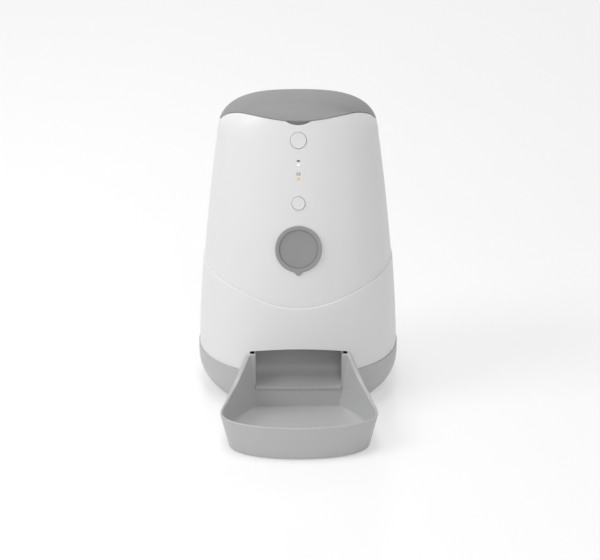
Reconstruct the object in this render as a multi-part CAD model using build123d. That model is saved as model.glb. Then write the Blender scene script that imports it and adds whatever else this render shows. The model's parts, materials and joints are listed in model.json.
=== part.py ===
from build123d import *
import math
import os

# Automatic dry food feeder: a tapered housing in two white mouldings on a grey base, a hinged grey lid, a food
# tank with a driven paddle rotor at its foot, and a chute that drops each portion into a pull-off tray.
# Millimetres. +Z is up and the front faces -Y. Sizes are worked out with y = 0 at the middle of the housing; the
# finished parts are moved so that the origin is on the table under the middle of the whole feeder.

# ---- housing: outer form ----
base_height = 45.0            # parting line between grey base and white housing
base_half_width = 105.2       # grey base at its rim
base_lip = 1.1                # how far the grey rim stands proud of the white housing
body_front = 107.0            # from the origin to the front of the white housing, at its foot
body_rear = 100.0
plan_power = 2.2              # squareness of the oval plan: 2 is an ellipse
taper_reach = 98.0            # height over which the tapers below are given
taper_power = 1.557
side_taper = 5.5
front_taper = 9.45
rear_taper = 7.5
step_depth = 1.1              # the apron stands this far proud of the upper housing
apron_front_share = 0.3838     # height of the curved step line in front, as a share of the lid's front edge
apron_side_rise = 26.5        # how much higher it runs at the sides
base_curl = 20.0              # how far the base curls in towards the table
base_curl_power = 2.6
foot_height = 2.0             # clearance under the base
low_post_share = 0.62         # how far out the posts between base and deck stand, of the base's half width
shell_wall = 2.5
base_floor = 3.0
shell_lip_depth = 5.0
shell_lip_gap = 0.15
far = 400.0                   # longer than the whole feeder, for cuts that run right through it

# ---- lid ----
lid_top = 314.9               # height of the crown
crown_height = 38.9           # the sides and the rear start to roll over this far below it
lid_edge_drop = 16.6          # the lid's front edge, below the crown
lid_peak_rise = 2.7           # the lid line's two peaks, above its front edge
lid_peak_offset = 49.0
lid_side_drop = 13.8          # the lid line at the sides and rear, below its front edge
side_roll = 2.5               # fullness of the crown over the sides, the front and the rear
front_roll = 2.4
rear_roll = 1.46
lid_wall = 2.2
lid_gap = 0.6
scoop_radius = 40.0           # hollow across the front of the lid
scoop_depth_back = 45.0
scoop_rise = 10.7
hinge_radius = 4.0
hinge_offset = 2.2            # hinge axis behind the rear face
hinge_pin_radius = 1.5
hinge_half_span = 24.0
hinge_knuckle_half = 12.0
turn_clearance = 0.4
pin_clearance = 0.05

# ---- lid latch ----
notch_half_width = 12.4
notch_depth = 3.4
latch_travel = 2.5
latch_clearance = 0.4
latch_setback = 0.9
latch_half_width = 9.0
latch_drop = 7.0
latch_wall = 1.5
latch_length = 8.0
spring_thickness = 0.4

# ---- tank ----
tank_wall = 2.0
tank_gap = 0.6
tank_front_gap = 22.0         # room for the controls behind the front wall
tank_rim_drop = 4.5           # the tank's rim, below the lid line at the sides
funnel_top_share = 0.5766     # height of the funnel's top, as a share of the lid's front edge
deck_height = 90.0
deck_thickness = 2.5
rotor_y = -24.0
rotor_radius = 52.3
rotor_gap = 1.2
rotor_wall = 2.0
rotor_housing_height = 28.0   # from the underside of the deck to the rim
rotor_hub_radius = 10.0
vane_count = 6
vane_thickness = 2.2
shaft_radius = 4.0
bush_wall = 3.0
running_clearance = 0.05
outlet_inner = 30.0
outlet_outer = 50.0
outlet_half_angle = 35.0
guard_thickness = 1.8

# ---- gear train ----
gear_module = 1.0
drive_teeth = 44
idler_teeth = 44
pinion_teeth = 12
gear_width = 8.0
gearbox_depth = 22.0
gearbox_wall = 1.8
gearbox_plate = 2.0
idler_axle_radius = 2.0
motor_radius = 12.0
motor_length = 27.5
motor_shaft_radius = 1.0

# ---- controls ----
panel_share = 0.8381          # middle of the control strip, as a share of the lid's front edge
power_button_radius = 8.0
power_button_offset = 31.2
feed_button_radius = 6.6
feed_button_offset = -31.4
button_travel = 1.0
button_gap = 0.35
button_depth = 5.7
window_radius = 1.5
white_window_offset = 6.9
amber_window_offset = -7.0
board_depth = 12.4
board_thickness = 1.6
badge_share = 0.5833          # middle of the badge, as a share of the lid's front edge
badge_radius = 23.4
badge_disc_radius = 19.5
badge_seat = 2.4

# ---- chute and outlet ----
chute_half_width = 43.4
chute_wall = 2.0
chute_lip_y = -102.0
chute_lip_z = 29.5
chute_bend_y = -75.0
chute_bend_z = 36.3
chute_bend_radius = 12.0
opening_half_width = 49.4
opening_end_height = 66.4
opening_top_height = 72.4

# ---- tray ----
dock_y = -97.5                # flat face that the tray parks against
dock_wall = 2.5
tray_gap = 0.4
tray_wall = 2.6
tray_floor = 8.0
tray_skirt = 1.0
tray_rim = 35.0
tray_ear_height = 65.0
tray_ear_half_width = 50.0
tray_half_width = 77.0
tray_front = -217.3
tray_wide_y = -178.0
tray_lean = 8.8               # how far the rim stands out beyond the foot
tray_hook = 5.0

# ---- power ----
cell_radius = 16.5
cell_length = 61.0
cell_pitch = 34.0
bay_front = -2.0
bay_gap = 0.5
door_travel = 12.0

eps = 0.01

# ---- heights that follow from these ----
shoulder_height = lid_top - crown_height
lid_edge_height = lid_top - lid_edge_drop
lid_peak_height = lid_edge_height + lid_peak_rise
lid_side_height = lid_edge_height - lid_side_drop
tank_rim_height = lid_side_height - tank_rim_drop
funnel_top = funnel_top_share * lid_edge_height
apron_front_height = apron_front_share * lid_edge_height
apron_side_height = apron_front_height + apron_side_rise
panel_height = panel_share * lid_edge_height
badge_height = badge_share * lid_edge_height


def taper(foot, drop, z):
    """A wall's distance from the axis at height z, leaning in more and more towards the top."""
    return foot - drop * (max(0.0, z - base_height) / taper_reach) ** taper_power


def rolled(half, z, start, top, roll):
    """The same distance where the lid's crown rolls it over, from height start to height top."""
    if z <= start:
        return half
    return half * (1 - min(0.999, (z - start) / (top - start)) ** roll) ** (1 / roll)


def crown_top(inset):
    """Height of the lid's crown, or of its inside where inset is deeper than its face."""
    return lid_top - (inset - step_depth)


def crown_levels(inset):
    """Heights of the outlines that shape the crown, closer together towards the top."""
    return [shoulder_height + share * (crown_top(inset) - shoulder_height) for share in crown_shares]


def reach(z, inset=0.0):
    """Half width, front and rear distance of the housing at height z, inset from its face."""
    top = crown_top(inset)
    side = taper(base_half_width - base_lip, side_taper, min(z, shoulder_height)) - inset
    front = taper(body_front, front_taper, min(z, lid_edge_height)) - inset
    rear = taper(body_rear, rear_taper, min(z, shoulder_height)) - inset
    return (rolled(side, z, shoulder_height, top, side_roll), rolled(front, z, lid_edge_height, top, front_roll),
            rolled(rear, z, shoulder_height, top, rear_roll))


def oval(half_width, front, rear, z, power=plan_power, centre_y=0.0):
    """A closed oval outline at height z, as four smooth quarters."""
    pull = (8 * 2 ** (-1 / power) - 4) / 3
    def quarter(x_end, y_end, from_side):
        points = [(x_end, 0), (x_end, pull * y_end), (pull * x_end, y_end), (0, y_end)]
        return Bezier(*[(x, centre_y + y, z) for x, y in (points if from_side else points[::-1])])
    return make_face(Wire([quarter(half_width, rear, True), quarter(-half_width, rear, False),
                           quarter(-half_width, -front, True), quarter(half_width, -front, False)]))


def housing(levels, inset=0.0):
    """The housing's solid form between the given heights."""
    return loft([oval(*reach(z, inset), z) for z in levels])


def under(points, bottom):
    """Everything under a line across the housing, given as (x, z) from the middle to the right."""
    left = [(-x, z) for x, z in reversed(points[1:])]
    line = left + list(points)
    curve = Spline(*[(x, 0, z) for x, z in line])
    end = line[-1][0]
    frame = Polyline((end, 0, line[-1][1]), (end, 0, bottom), (-end, 0, bottom), (-end, 0, line[0][1]))
    return extrude(make_face(Wire([curve, *frame.edges()])), amount=2 * body_front, dir=(0, 1, 0), both=True)


def lid_line(shift=0.0):
    """The lid's front edge: low in the middle, two peaks, lower at the sides."""
    drop = lid_peak_height - lid_side_height
    points = [(0, lid_edge_height), (lid_peak_offset / 2, (lid_edge_height + lid_peak_height) / 2),
              (lid_peak_offset, lid_peak_height), (lid_peak_offset + 16, lid_peak_height - 0.12 * drop),
              (lid_peak_offset + 25, lid_peak_height - 0.46 * drop),
              (lid_peak_offset + 29.5, lid_side_height + 0.1 * drop),
              (lid_peak_offset + 32, lid_side_height), (lid_peak_offset + 60, lid_side_height)]
    return [(x, z + shift) for x, z in points]


def below_lid(shift=0.0):
    """Everything under the lid: below its waved front edge, and below one level at the sides and rear."""
    level = lid_side_height + shift
    front = under(lid_line(shift), base_height) & block(-far, far, -far, 0, 0, far)
    return front + block(-far, far, 0, far, 0, level) + block(-far, far, -far, 0, 0, level)


def step_line(shift=0.0):
    """The curved step between apron and upper housing."""
    rise = apron_side_height - apron_front_height
    side = base_half_width - base_lip - side_taper
    shape = ((0, 0), (0.26, 0.1), (0.54, 0.41), (0.83, 0.76), (1.0, 1.0), (1.15, 1.25))
    return [(side * x, apron_front_height + rise * z + shift) for x, z in shape]


def rod(x, y, z0, z1, radius):
    """An upright round bar between two heights."""
    return Pos(x, y, z0) * Cylinder(radius, z1 - z0, align=(Align.CENTER, Align.CENTER, Align.MIN))


def bar(x0, x1, radius, y, z):
    """A round bar along X."""
    return Pos((x0 + x1) / 2, y, z) * Rot(0, 90, 0) * Cylinder(radius, x1 - x0)


def block(x0, x1, y0, y1, z0, z1):
    return Pos((x0 + x1) / 2, (y0 + y1) / 2, (z0 + z1) / 2) * Box(x1 - x0, y1 - y0, z1 - z0)


def on_plane(plane, shape):
    return plane.location * shape


def front_plane(z, inset):
    """A plane on the housing's front centre at height z, its Z pointing outwards."""
    run = reach(z - 1, inset)[1] - reach(z + 1, inset)[1]
    lean = math.atan2(run, 2.0)
    return Plane(origin=(0, -reach(z, inset)[1], z), x_dir=(1, 0, 0), z_dir=(0, -math.cos(lean), math.sin(lean)))


def gear(teeth, width, bore):
    """A straight-toothed gear, its foot on the plane Z = 0."""
    pitch = gear_module * teeth / 2
    root, tip = pitch - 1.2 * gear_module, pitch + 0.95 * gear_module
    turn = 360 / teeth
    points = []
    for i in range(teeth):
        for radius, share in ((root, -0.34), (tip, -0.12), (tip, 0.12), (root, 0.34)):
            angle = math.radians((i + share) * turn)
            points.append((radius * math.cos(angle), radius * math.sin(angle)))
    blank = extrude(make_face(Polyline(*points, close=True)), amount=width)
    return blank - rod(0, 0, -1, width + 1, bore)


def screw(x, y, head_z, length, up, head_radius=2.8, shank_radius=1.4, head=2.0):
    """A pan head screw. Its head's seat is at head_z, and its shank runs up or down from there."""
    way = 1 if up else -1
    seat, end = head_z, head_z + way * length
    shank = rod(x, y, min(seat, end), max(seat, end), shank_radius)
    top = head_z - way * head
    return shank + rod(x, y, min(seat, top), max(seat, top), head_radius)


# ---- heights and places that several pieces share ----
deck_top = deck_height + deck_thickness
rim_height = deck_height + rotor_housing_height
rotor_bore = rotor_radius + rotor_gap
housing_radius = rotor_bore + rotor_wall
gearbox_bottom = deck_height - gearbox_depth
cover_bottom = gearbox_bottom - gearbox_plate
gear_z = gearbox_bottom + 4.0
idler_y = rotor_y + gear_module * (drive_teeth + idler_teeth) / 2
pinion_y = idler_y + gear_module * (idler_teeth + pinion_teeth) / 2
upper_inset = step_depth
upper_inner = step_depth + shell_wall
low_posts = [(sx * low_post_share * base_half_width, y) for sx in (-1, 1)
             for y in (-0.5 * body_front, 0.46 * body_rear)]
high_posts = [(sx * 0.57 * base_half_width, y) for sx in (-1, 1)
              for y in (-0.71 * body_front, 0.7 * body_rear)]
post_radius = 4.5
panel = front_plane(panel_height, upper_inset)
badge_plane = front_plane(badge_height, upper_inset)
hinge_y = reach(lid_side_height, upper_inset)[2] + hinge_offset
hinge_z = lid_side_height - 0.7

# ---- housing shells ----
level_foot = apron_front_height - 14.5
body_levels = [level_foot + share * (shoulder_height - level_foot) for share in (0, 0.25, 0.5, 0.75, 1)]
crown_shares = (0.25, 0.5, 0.7, 0.84, 0.93, 0.98, 0.996)


def crown(inset):
    """The rolled-over top of the housing, which the lid is cut from."""
    return housing([shoulder_height, *crown_levels(inset)], inset)


def lower_shell():
    rise = apron_side_height + 20 - base_height
    levels = [base_height + share * rise for share in (0, 0.25, 0.5, 0.75, 1)]
    outside = housing(levels)
    shell = (outside - housing(levels, shell_wall)) & under(step_line(), base_height - 1)
    # arched outlet opening in the front
    arch = ThreePointArc((opening_half_width, 0, opening_end_height), (0, 0, opening_top_height),
                         (-opening_half_width, 0, opening_end_height))
    sides = Polyline((-opening_half_width, 0, opening_end_height), (-opening_half_width, 0, base_height - 5),
                     (opening_half_width, 0, base_height - 5), (opening_half_width, 0, opening_end_height))
    mouth = extrude(make_face(Wire([arch, *sides.edges()])), amount=far, dir=(0, -1, 0))
    shell -= mouth
    # screw posts with webs to the wall; the deck rests on them
    core = housing(levels, shell_wall / 2)
    for x, y in low_posts:
        out = math.degrees(math.atan2(y, x))
        web = Pos(x, y, (base_height + deck_height) / 2) * Rot(0, 0, out) * Pos(15, 0, 0) * Box(
            30, 2, deck_height - base_height)
        post = (rod(x, y, base_height, deck_height, post_radius) + web) & core
        shell += post
        shell -= rod(x, y, base_height - 1, deck_height + 1, 1.4)
    # power socket hole in the rear wall
    shell -= Pos(0, body_rear, socket_z) * Rot(90, 0, 0) * Cylinder(socket_radius, 30)
    return shell


def upper_shell():
    outside = housing(body_levels, upper_inset)
    # the wall above the step line, and the lip that drops inside the apron
    lip = housing(body_levels, shell_wall + shell_lip_gap) - under(step_line(-shell_lip_depth), base_height)
    shell = (outside - under(step_line(), base_height)) + lip - housing(body_levels, upper_inner)
    inner_crown = crown(upper_inner)
    shell += (crown(upper_inset) - inner_crown) & below_lid()
    # posts down to the deck
    post_top = apron_side_height + 9
    core = housing((deck_top, (deck_top + post_top) / 2, post_top), shell_wall + 2 * shell_lip_gap)
    for x, y in high_posts:
        shell += rod(x, y, deck_top, post_top, post_radius) & core
        shell -= rod(x, y, deck_top - 1, deck_top + 16, 1.4)
    # control strip: button holes, light windows and the posts of the button board
    for offset, radius in ((power_button_offset, power_button_radius), (feed_button_offset, feed_button_radius)):
        shell -= on_plane(panel, Pos(0, offset, -3) * Cylinder(radius + button_gap, 12))
    for offset in (white_window_offset, amber_window_offset):
        shell -= on_plane(panel, Pos(0, offset, -3) * Cylinder(window_radius, 12))
    for x, offset in board_posts:
        shell += on_plane(panel, Pos(x, offset, -(board_depth + 1.6) / 2) * Cylinder(2.4, board_depth - 1.6))
        shell -= on_plane(panel, Pos(x, offset, -board_depth) * Cylinder(0.9, 12))
    # seat of the badge: a flat pocket in a thicker ring
    ring = on_plane(badge_plane, Pos(0, 0, -4) * Cylinder(badge_radius + 3, 6)) & outside
    shell += ring
    shell -= on_plane(badge_plane, Pos(0, 0, -badge_seat) * Cylinder(
        badge_radius + 0.1, 12, align=(Align.CENTER, Align.CENTER, Align.MIN)))
    shell -= on_plane(badge_plane, Cylinder(badge_disc_radius + 1.5, 30))
    tip = on_plane(badge_plane, Pos(0, 0, -badge_seat) * extrude(badge_tip(0.1), amount=12))
    shell -= tip
    # thumb notch in the front edge, and the cradle that guides the latch
    front_skin = block(-far, far, -far, latch_front + 1.2, 0, far)
    shell -= notch(0.0, -reach(lid_edge_height, 0)[1] - 3, latch_front + latch_length)
    cradle = block(-latch_rail, latch_rail, latch_front + 1, cradle_rear, latch_bottom - 2 - latch_clearance,
                   latch_bottom + latch_drop / 2) - front_skin
    cradle -= block(-latch_half_width - latch_clearance, latch_half_width + latch_clearance, latch_front - 5,
                    cradle_rear - 1.5, latch_bottom - latch_clearance, latch_bottom + 20)
    shell += cradle
    shell -= block(-latch_half_width - latch_clearance, latch_half_width + latch_clearance,
                   latch_front + 2.1 - latch_clearance, cradle_rear - 1.5, latch_bottom - latch_clearance,
                   latch_bottom + 20)
    # rear hinge: two outer knuckles, and the space where the lid's knuckle turns
    shell -= block(-hinge_knuckle_half - turn_clearance, hinge_knuckle_half + turn_clearance,
                   hinge_y - hinge_radius - 2, far, hinge_z - hinge_radius - turn_clearance, far)
    for side in (-1, 1):
        x0, x1 = sorted((side * (hinge_knuckle_half + turn_clearance), side * hinge_half_span))
        shell += bar(x0, x1, hinge_radius, hinge_y, hinge_z) - inner_crown
    shell -= bar(-hinge_half_span - 1, hinge_half_span + 1, hinge_pin_radius, hinge_y, hinge_z)
    return shell


def notch(shrink, y0, y1):
    """The crescent under the lid's front edge, as a solid from y0 to y1."""
    radius = (notch_half_width ** 2 + notch_depth ** 2) / (2 * notch_depth)
    middle = lid_edge_height - notch_depth + radius
    round_bar = Pos(0, (y0 + y1) / 2, middle) * Rot(90, 0, 0) * Cylinder(radius - shrink, y1 - y0)
    half = notch_half_width + 2
    return round_bar & block(-half, half, y0, y1, lid_edge_height - notch_depth - 1,
                             lid_edge_height + (2 if shrink == 0 else 0.1))


def badge_tip(extra):
    """The small point at the bottom of the badge's ring."""
    low = -badge_radius - 3.0 - extra
    top = -badge_radius * 0.93
    return make_face(Polyline((-6.2 - extra, top), (-1.8 - extra, low), (1.8 + extra, low), (6.2 + extra, top),
                              close=True))


latch_front = -reach(lid_edge_height, upper_inset)[1] + latch_setback
latch_bottom = lid_edge_height - latch_drop
latch_rail = latch_half_width + latch_clearance + 2
cradle_rear = latch_front + latch_length + latch_travel + 3.4
board_top = power_button_offset + 5
board_low = feed_button_offset - 12
board_posts = [(sx * 9.5, offset) for sx in (-1, 1) for offset in (board_low + 3.5, board_top - 14)]
socket_z = 62.0
socket_radius = 5.5


def lid_latch():
    tab = notch(latch_clearance, latch_front, latch_front + 2.2)
    tab &= block(-notch_half_width + 2, notch_half_width - 2, latch_front, latch_front + 2.2, 0, lid_top)
    slider_top = lid_edge_height - 0.2
    slider = block(-latch_half_width, latch_half_width, latch_front + 2.1, latch_front + latch_length,
                   latch_bottom, slider_top)
    slider -= block(-latch_half_width + 2, latch_half_width - 2, latch_front + 4.5, latch_front + latch_length + 1,
                    latch_bottom + latch_wall, slider_top - latch_wall)
    return tab + slider


def latch_spring():
    """A bowed leaf between the cradle's rear wall and the latch."""
    near = cradle_rear - 1.5
    tip = latch_front + 4.5
    middle_z = (latch_bottom + lid_edge_height - 0.2) / 2
    half = latch_half_width - 2.6
    outer = ThreePointArc((-half, near, middle_z), (0, tip, middle_z), (half, near, middle_z))
    inner = ThreePointArc((half - 0.6, near, middle_z), (0, tip + spring_thickness, middle_z),
                          (-half + 0.6, near, middle_z))
    ends = [Line((half, near, middle_z), (half - 0.6, near, middle_z)),
            Line((-half + 0.6, near, middle_z), (-half, near, middle_z))]
    return extrude(make_face(Wire([outer, ends[0], inner, ends[1]])), amount=1.4, dir=(0, 0, 1), both=True)


# ---- lid group ----
liner_bottom = tank_rim_height + 2.7
liner_top = liner_bottom + 2.0
lid_bosses = [(sx * 36, y) for sx in (-1, 1) for y in (-14, 14)]
mouth_flange = 2.0


def tank_oval(z, inset):
    side, front, rear = reach(z, upper_inner + tank_gap + inset)
    return oval(side, front - tank_front_gap + shell_wall + tank_gap, rear, z)


def mouth_oval(z, inset):
    """The outline of the liner, which clears the housing as the lid swings, and of all that matches it."""
    side, front, rear = reach(lid_peak_height, upper_inner + 1.0)
    return oval(side - inset, front - tank_front_gap + shell_wall + tank_gap - inset, rear - inset, z)


def scoop(radius):
    """The long round hollow across the front of the lid."""
    front = reach(lid_edge_height, upper_inset)[1]
    run, rise = front - scoop_depth_back, scoop_rise
    chord = math.hypot(run, rise)
    lift = math.sqrt(scoop_radius ** 2 - chord ** 2 / 4)
    y = -(front + scoop_depth_back) / 2 - lift * rise / chord
    z = lid_edge_height + rise / 2 + lift * run / chord
    return bar(-body_front, body_front, radius, y, z)


def lid_shell():
    outside = crown(upper_inset) - scoop(scoop_radius)
    inside = crown(upper_inset + lid_wall) - scoop(scoop_radius + lid_wall)
    lid = outside - inside - below_lid(lid_gap)
    core = crown(upper_inset + lid_wall / 2) - scoop(scoop_radius + lid_wall / 2)
    for x, y in lid_bosses:
        lid += rod(x, y, liner_top, lid_top, 3.6) & core
        lid -= rod(x, y, liner_top - 1, liner_top + 8, 1.4)
    # rear knuckle, and room for the housing's knuckles
    for side in (-1, 1):
        x0, x1 = sorted((side * hinge_knuckle_half, side * (hinge_half_span + turn_clearance)))
        lid -= bar(x0, x1, hinge_radius + turn_clearance, hinge_y, hinge_z)
    knuckle = bar(-hinge_knuckle_half, hinge_knuckle_half, hinge_radius, hinge_y, hinge_z)
    arm_top = hinge_z + 9
    arm_rear = reach(arm_top, upper_inset)[2]
    arm = Polyline((0, hinge_y - 3, hinge_z), (0, hinge_y + 3.4, hinge_z + 2.1), (0, arm_rear - 0.3, arm_top),
                   (0, arm_rear - 3, arm_top), close=True)
    knuckle += extrude(make_face(arm), amount=hinge_knuckle_half, dir=(1, 0, 0), both=True)
    lid += knuckle - crown(upper_inset + lid_wall / 2)
    lid -= bar(-hinge_knuckle_half - 1, hinge_knuckle_half + 1, hinge_pin_radius + pin_clearance, hinge_y, hinge_z)
    return lid


def lid_catch():
    """The hook behind the latch, fixed under the lid."""
    catch_y = cradle_rear + 1.0
    inside = crown(upper_inset + lid_wall) - scoop(scoop_radius + lid_wall)
    return block(-5, 5, catch_y, catch_y + 1.8, lid_edge_height - 5, lid_top) & inside


def lid_liner():
    plate = extrude(mouth_oval(liner_bottom, 0), amount=liner_top - liner_bottom)
    wall_height = lid_edge_height - 1.0 - liner_top
    wall = extrude(mouth_oval(liner_top, 5.0) - mouth_oval(liner_top, 6.8), amount=wall_height)
    liner = plate + (wall & crown(upper_inset + lid_wall + 0.4))
    for x, y in lid_bosses:
        liner -= rod(x, y, liner_bottom - 1, liner_top + 1, 1.6)
    return liner


def lid_seal():
    seal_bottom = tank_rim_height + 0.3
    return extrude(mouth_oval(seal_bottom, 0.6) - mouth_oval(seal_bottom, 4.0), amount=liner_bottom - seal_bottom)


desiccant_half_x = 30.0
desiccant_half_y = 20.0
desiccant_depth = 16.0
desiccant_y = 0.0
desiccant_bottom = liner_bottom - desiccant_depth
cover_axis_y = desiccant_y + desiccant_half_y + 2.4
cover_thickness = 1.8
cover_axis_z = desiccant_bottom - 0.3 - cover_thickness / 2


def desiccant_box():
    outer = Pos(0, desiccant_y, desiccant_bottom) * Box(
        2 * desiccant_half_x, 2 * desiccant_half_y, desiccant_depth, align=(Align.CENTER, Align.CENTER, Align.MIN))
    outer = fillet(outer.edges().filter_by(Axis.Z), 6)
    inner = Pos(0, desiccant_y, desiccant_bottom - 1) * Box(
        2 * desiccant_half_x - 3.6, 2 * desiccant_half_y - 3.6, desiccant_depth - 1,
        align=(Align.CENTER, Align.CENTER, Align.MIN))
    inner = fillet(inner.edges().filter_by(Axis.Z), 4.2)
    box = outer - inner
    for side in (-1, 1):
        x0, x1 = sorted((side * 18, side * 20))
        ear = block(x0, x1, desiccant_y + desiccant_half_y - 1, cover_axis_y + 2.2, cover_axis_z - 2.2,
                    desiccant_bottom + 6)
        box += ear - bar(x0 - 1, x1 + 1, 0.9 + pin_clearance, cover_axis_y, cover_axis_z)
    return box


def desiccant_cover():
    z0, z1 = cover_axis_z - cover_thickness / 2, cover_axis_z + cover_thickness / 2
    plate = block(-desiccant_half_x + 0.4, desiccant_half_x - 0.4, desiccant_y - desiccant_half_y + 0.4,
                  desiccant_y + desiccant_half_y - 1.6, z0, z1)
    plate = fillet(plate.edges().filter_by(Axis.Z), 5.6)
    for i in range(-3, 4):
        plate -= block(6.6 * i - 1.2, 6.6 * i + 1.2, desiccant_y - 13, desiccant_y + 11, z0 - 1, z1 + 1)
    tongue = block(-17.6, 17.6, desiccant_y + desiccant_half_y - 4, cover_axis_y, z0, z1)
    barrel = bar(-17.6, 17.6, 1.6, cover_axis_y, cover_axis_z)
    pins = bar(-20, 20, 0.9, cover_axis_y, cover_axis_z)
    return plate + tongue + barrel + pins


def lid_screws():
    return Compound(children=[screw(x, y, liner_bottom, 8, True, head=1.6) for x, y in lid_bosses])


# ---- tank, deck and rotor ----
def food_tank():
    def form(inset, z_top, z_low):
        step = (z_top - funnel_top) / 3
        upper = loft([tank_oval(funnel_top + i * step, inset) for i in range(4)])
        throat = housing_radius - inset
        lower = loft([oval(throat, throat - rotor_y, throat + rotor_y, z_low), tank_oval(funnel_top, inset)])
        return upper + lower
    tank = form(0, tank_rim_height, rim_height) - form(tank_wall, tank_rim_height + eps, rim_height - eps)
    tank -= rod(0, rotor_y, rim_height - 1, rim_height + 0.6, rotor_bore + 1.1)
    # the flange around the mouth, which the lid's seal closes on
    flange_bottom = tank_rim_height - mouth_flange
    flange = tank_oval(flange_bottom, tank_wall / 2) - mouth_oval(flange_bottom, 6.0)
    return tank + extrude(flange, amount=mouth_flange)


def outlet_sector(inner, outer, half_angle, z0, height):
    """A slice of a ring around the rotor's axis, towards the front."""
    a = math.radians(half_angle)
    def at(radius, angle):
        return (radius * math.sin(angle), rotor_y - radius * math.cos(angle), z0)
    edges = [ThreePointArc(at(outer, -a), at(outer, 0), at(outer, a)), Line(at(outer, a), at(inner, a)),
             ThreePointArc(at(inner, a), at(inner, 0), at(inner, -a)), Line(at(inner, -a), at(outer, -a))]
    return extrude(make_face(Wire(edges)), amount=height, dir=(0, 0, 1))


def rotor_housing():
    ring = rod(0, rotor_y, deck_top, rim_height, housing_radius)
    ring -= rod(0, rotor_y, deck_top - 1, rim_height + 1, rotor_bore)
    return ring - rod(0, rotor_y, rim_height - guard_thickness, rim_height + 1, rotor_bore + 1.0)


def deck():
    body = extrude(oval(*reach(deck_height, shell_wall + 1.0), deck_height), amount=deck_thickness)
    body -= outlet_sector(outlet_inner, outlet_outer, outlet_half_angle, deck_height - 1, deck_thickness + 2)
    body -= rod(0, rotor_y, deck_height - 1, deck_top + 1, shaft_radius + running_clearance + bush_wall)
    collar = rod(0, pinion_y, deck_top - 1, deck_top + 8, motor_radius + 2) - rod(
        0, pinion_y, deck_top, deck_top + 9, motor_radius)
    body += collar
    body -= rod(0, pinion_y, deck_height - 1, deck_top + 1, 4)
    body -= rod(0, idler_y, deck_height - 1, deck_top - 0.5, idler_axle_radius)
    for x, y in low_posts:
        body -= rod(x, y, deck_height - 1, deck_top + 1, 1.8)
    for x, y in high_posts:
        body -= rod(x, y, deck_height - 1, deck_top + 1, 1.8)
    for x, y in gearbox_ears:
        body -= rod(x, y, deck_height - 1, deck_top + 1, 1.2)
    for x, y in main_board_posts:
        body += rod(x, y, deck_top - 0.5, main_board_z, 2.4)
        body -= rod(x, y, deck_top, main_board_z + 1, 0.9)
    return body


def outlet_guard():
    plate = outlet_sector(rotor_hub_radius + 4, rotor_bore + 0.9, 68, rim_height - guard_thickness, guard_thickness)
    ridge = Pos(0, rotor_y - 33, rim_height - eps) * Box(3, 36, 5, align=(Align.CENTER, Align.CENTER, Align.MIN))
    ridge = chamfer(ridge.edges().filter_by(Axis.Y).group_by(Axis.Z)[-1], 1.3)
    return plate + ridge


rotor_bottom = deck_top + 0.7
rotor_top = rim_height - guard_thickness - 1.7


def rotor():
    body = rod(0, rotor_y, rotor_bottom, rotor_top, rotor_hub_radius)
    for i in range(vane_count):
        vane = block(rotor_hub_radius - 2, rotor_radius, -vane_thickness / 2, vane_thickness / 2, rotor_bottom + 0.3,
                     rotor_top)
        body += Pos(0, rotor_y, 0) * Rot(0, 0, (i + 0.5) * 360 / vane_count) * vane
    return body - rod(0, rotor_y, rotor_bottom - 1, rotor_top - 4, shaft_radius)


def rotor_knob():
    foot = rod(0, rotor_y, rotor_top, rotor_top + 3, rotor_hub_radius)
    cone = Pos(0, rotor_y, rotor_top + 3 - eps) * Cone(rotor_hub_radius, 3.5, 11,
                                                     align=(Align.CENTER, Align.CENTER, Align.MIN))
    return foot + cone


def rotor_shaft():
    return rod(0, rotor_y, cover_bottom + 0.5, rotor_top - 4, shaft_radius)


def bush(z0, z1):
    bore = shaft_radius + running_clearance
    return rod(0, rotor_y, z0, z1, bore + bush_wall) - rod(0, rotor_y, z0 - 1, z1 + 1, bore)


# ---- gearbox ----
gear_tip = gear_module * (drive_teeth / 2 + 0.95)
box_half = gear_tip + 0.7 + gearbox_wall
box_front = rotor_y - gear_tip - 0.7 - gearbox_wall
box_rear = pinion_y + gear_module * pinion_teeth / 2 + 2 + gearbox_wall
gearbox_ears = [(sx * (box_half + 3), y) for sx in (-1, 1) for y in (box_front + 6, box_rear - 6)]
main_board_z = deck_top + 4.0
main_board_y = pinion_y + motor_radius + 16
main_board_posts = [(sx * 34, main_board_y + sy * 8) for sx in (-1, 1) for sy in (-1, 1)]


idler_turn = 270 + 180 / idler_teeth   # a gap faces the drive gear


def gearbox_plan(z, height, inset=0.0):
    plan = block(-box_half + inset, box_half - inset, box_front + inset, box_rear - inset, z, z + height)
    return fillet(plan.edges().filter_by(Axis.Z), 5 - inset)


def gearbox_housing():
    box = gearbox_plan(gearbox_bottom, gearbox_depth) - gearbox_plan(
        gearbox_bottom - 1, gearbox_depth + 2, gearbox_wall)
    for x, y in gearbox_ears:
        inner = gearbox_plan(gearbox_bottom - 1, gearbox_depth + 2, gearbox_wall)
        box += rod(x, y, gearbox_bottom, deck_height, 3.6) - inner
        box -= rod(x, y, gearbox_bottom - 1, deck_height + 1, 1.6)
    return box


def gearbox_cover():
    plate = gearbox_plan(cover_bottom, gearbox_plate)
    for x, y in gearbox_ears:
        plate += rod(x, y, cover_bottom, gearbox_bottom, 3.6)
        plate -= rod(x, y, cover_bottom - 1, gearbox_bottom + 1, 1.6)
    plate -= rod(0, rotor_y, cover_bottom - 1, gearbox_bottom + 1, shaft_radius + running_clearance + bush_wall)
    plate -= rod(0, idler_y, cover_bottom + 0.5, gearbox_bottom + 1, idler_axle_radius)
    return plate


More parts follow.
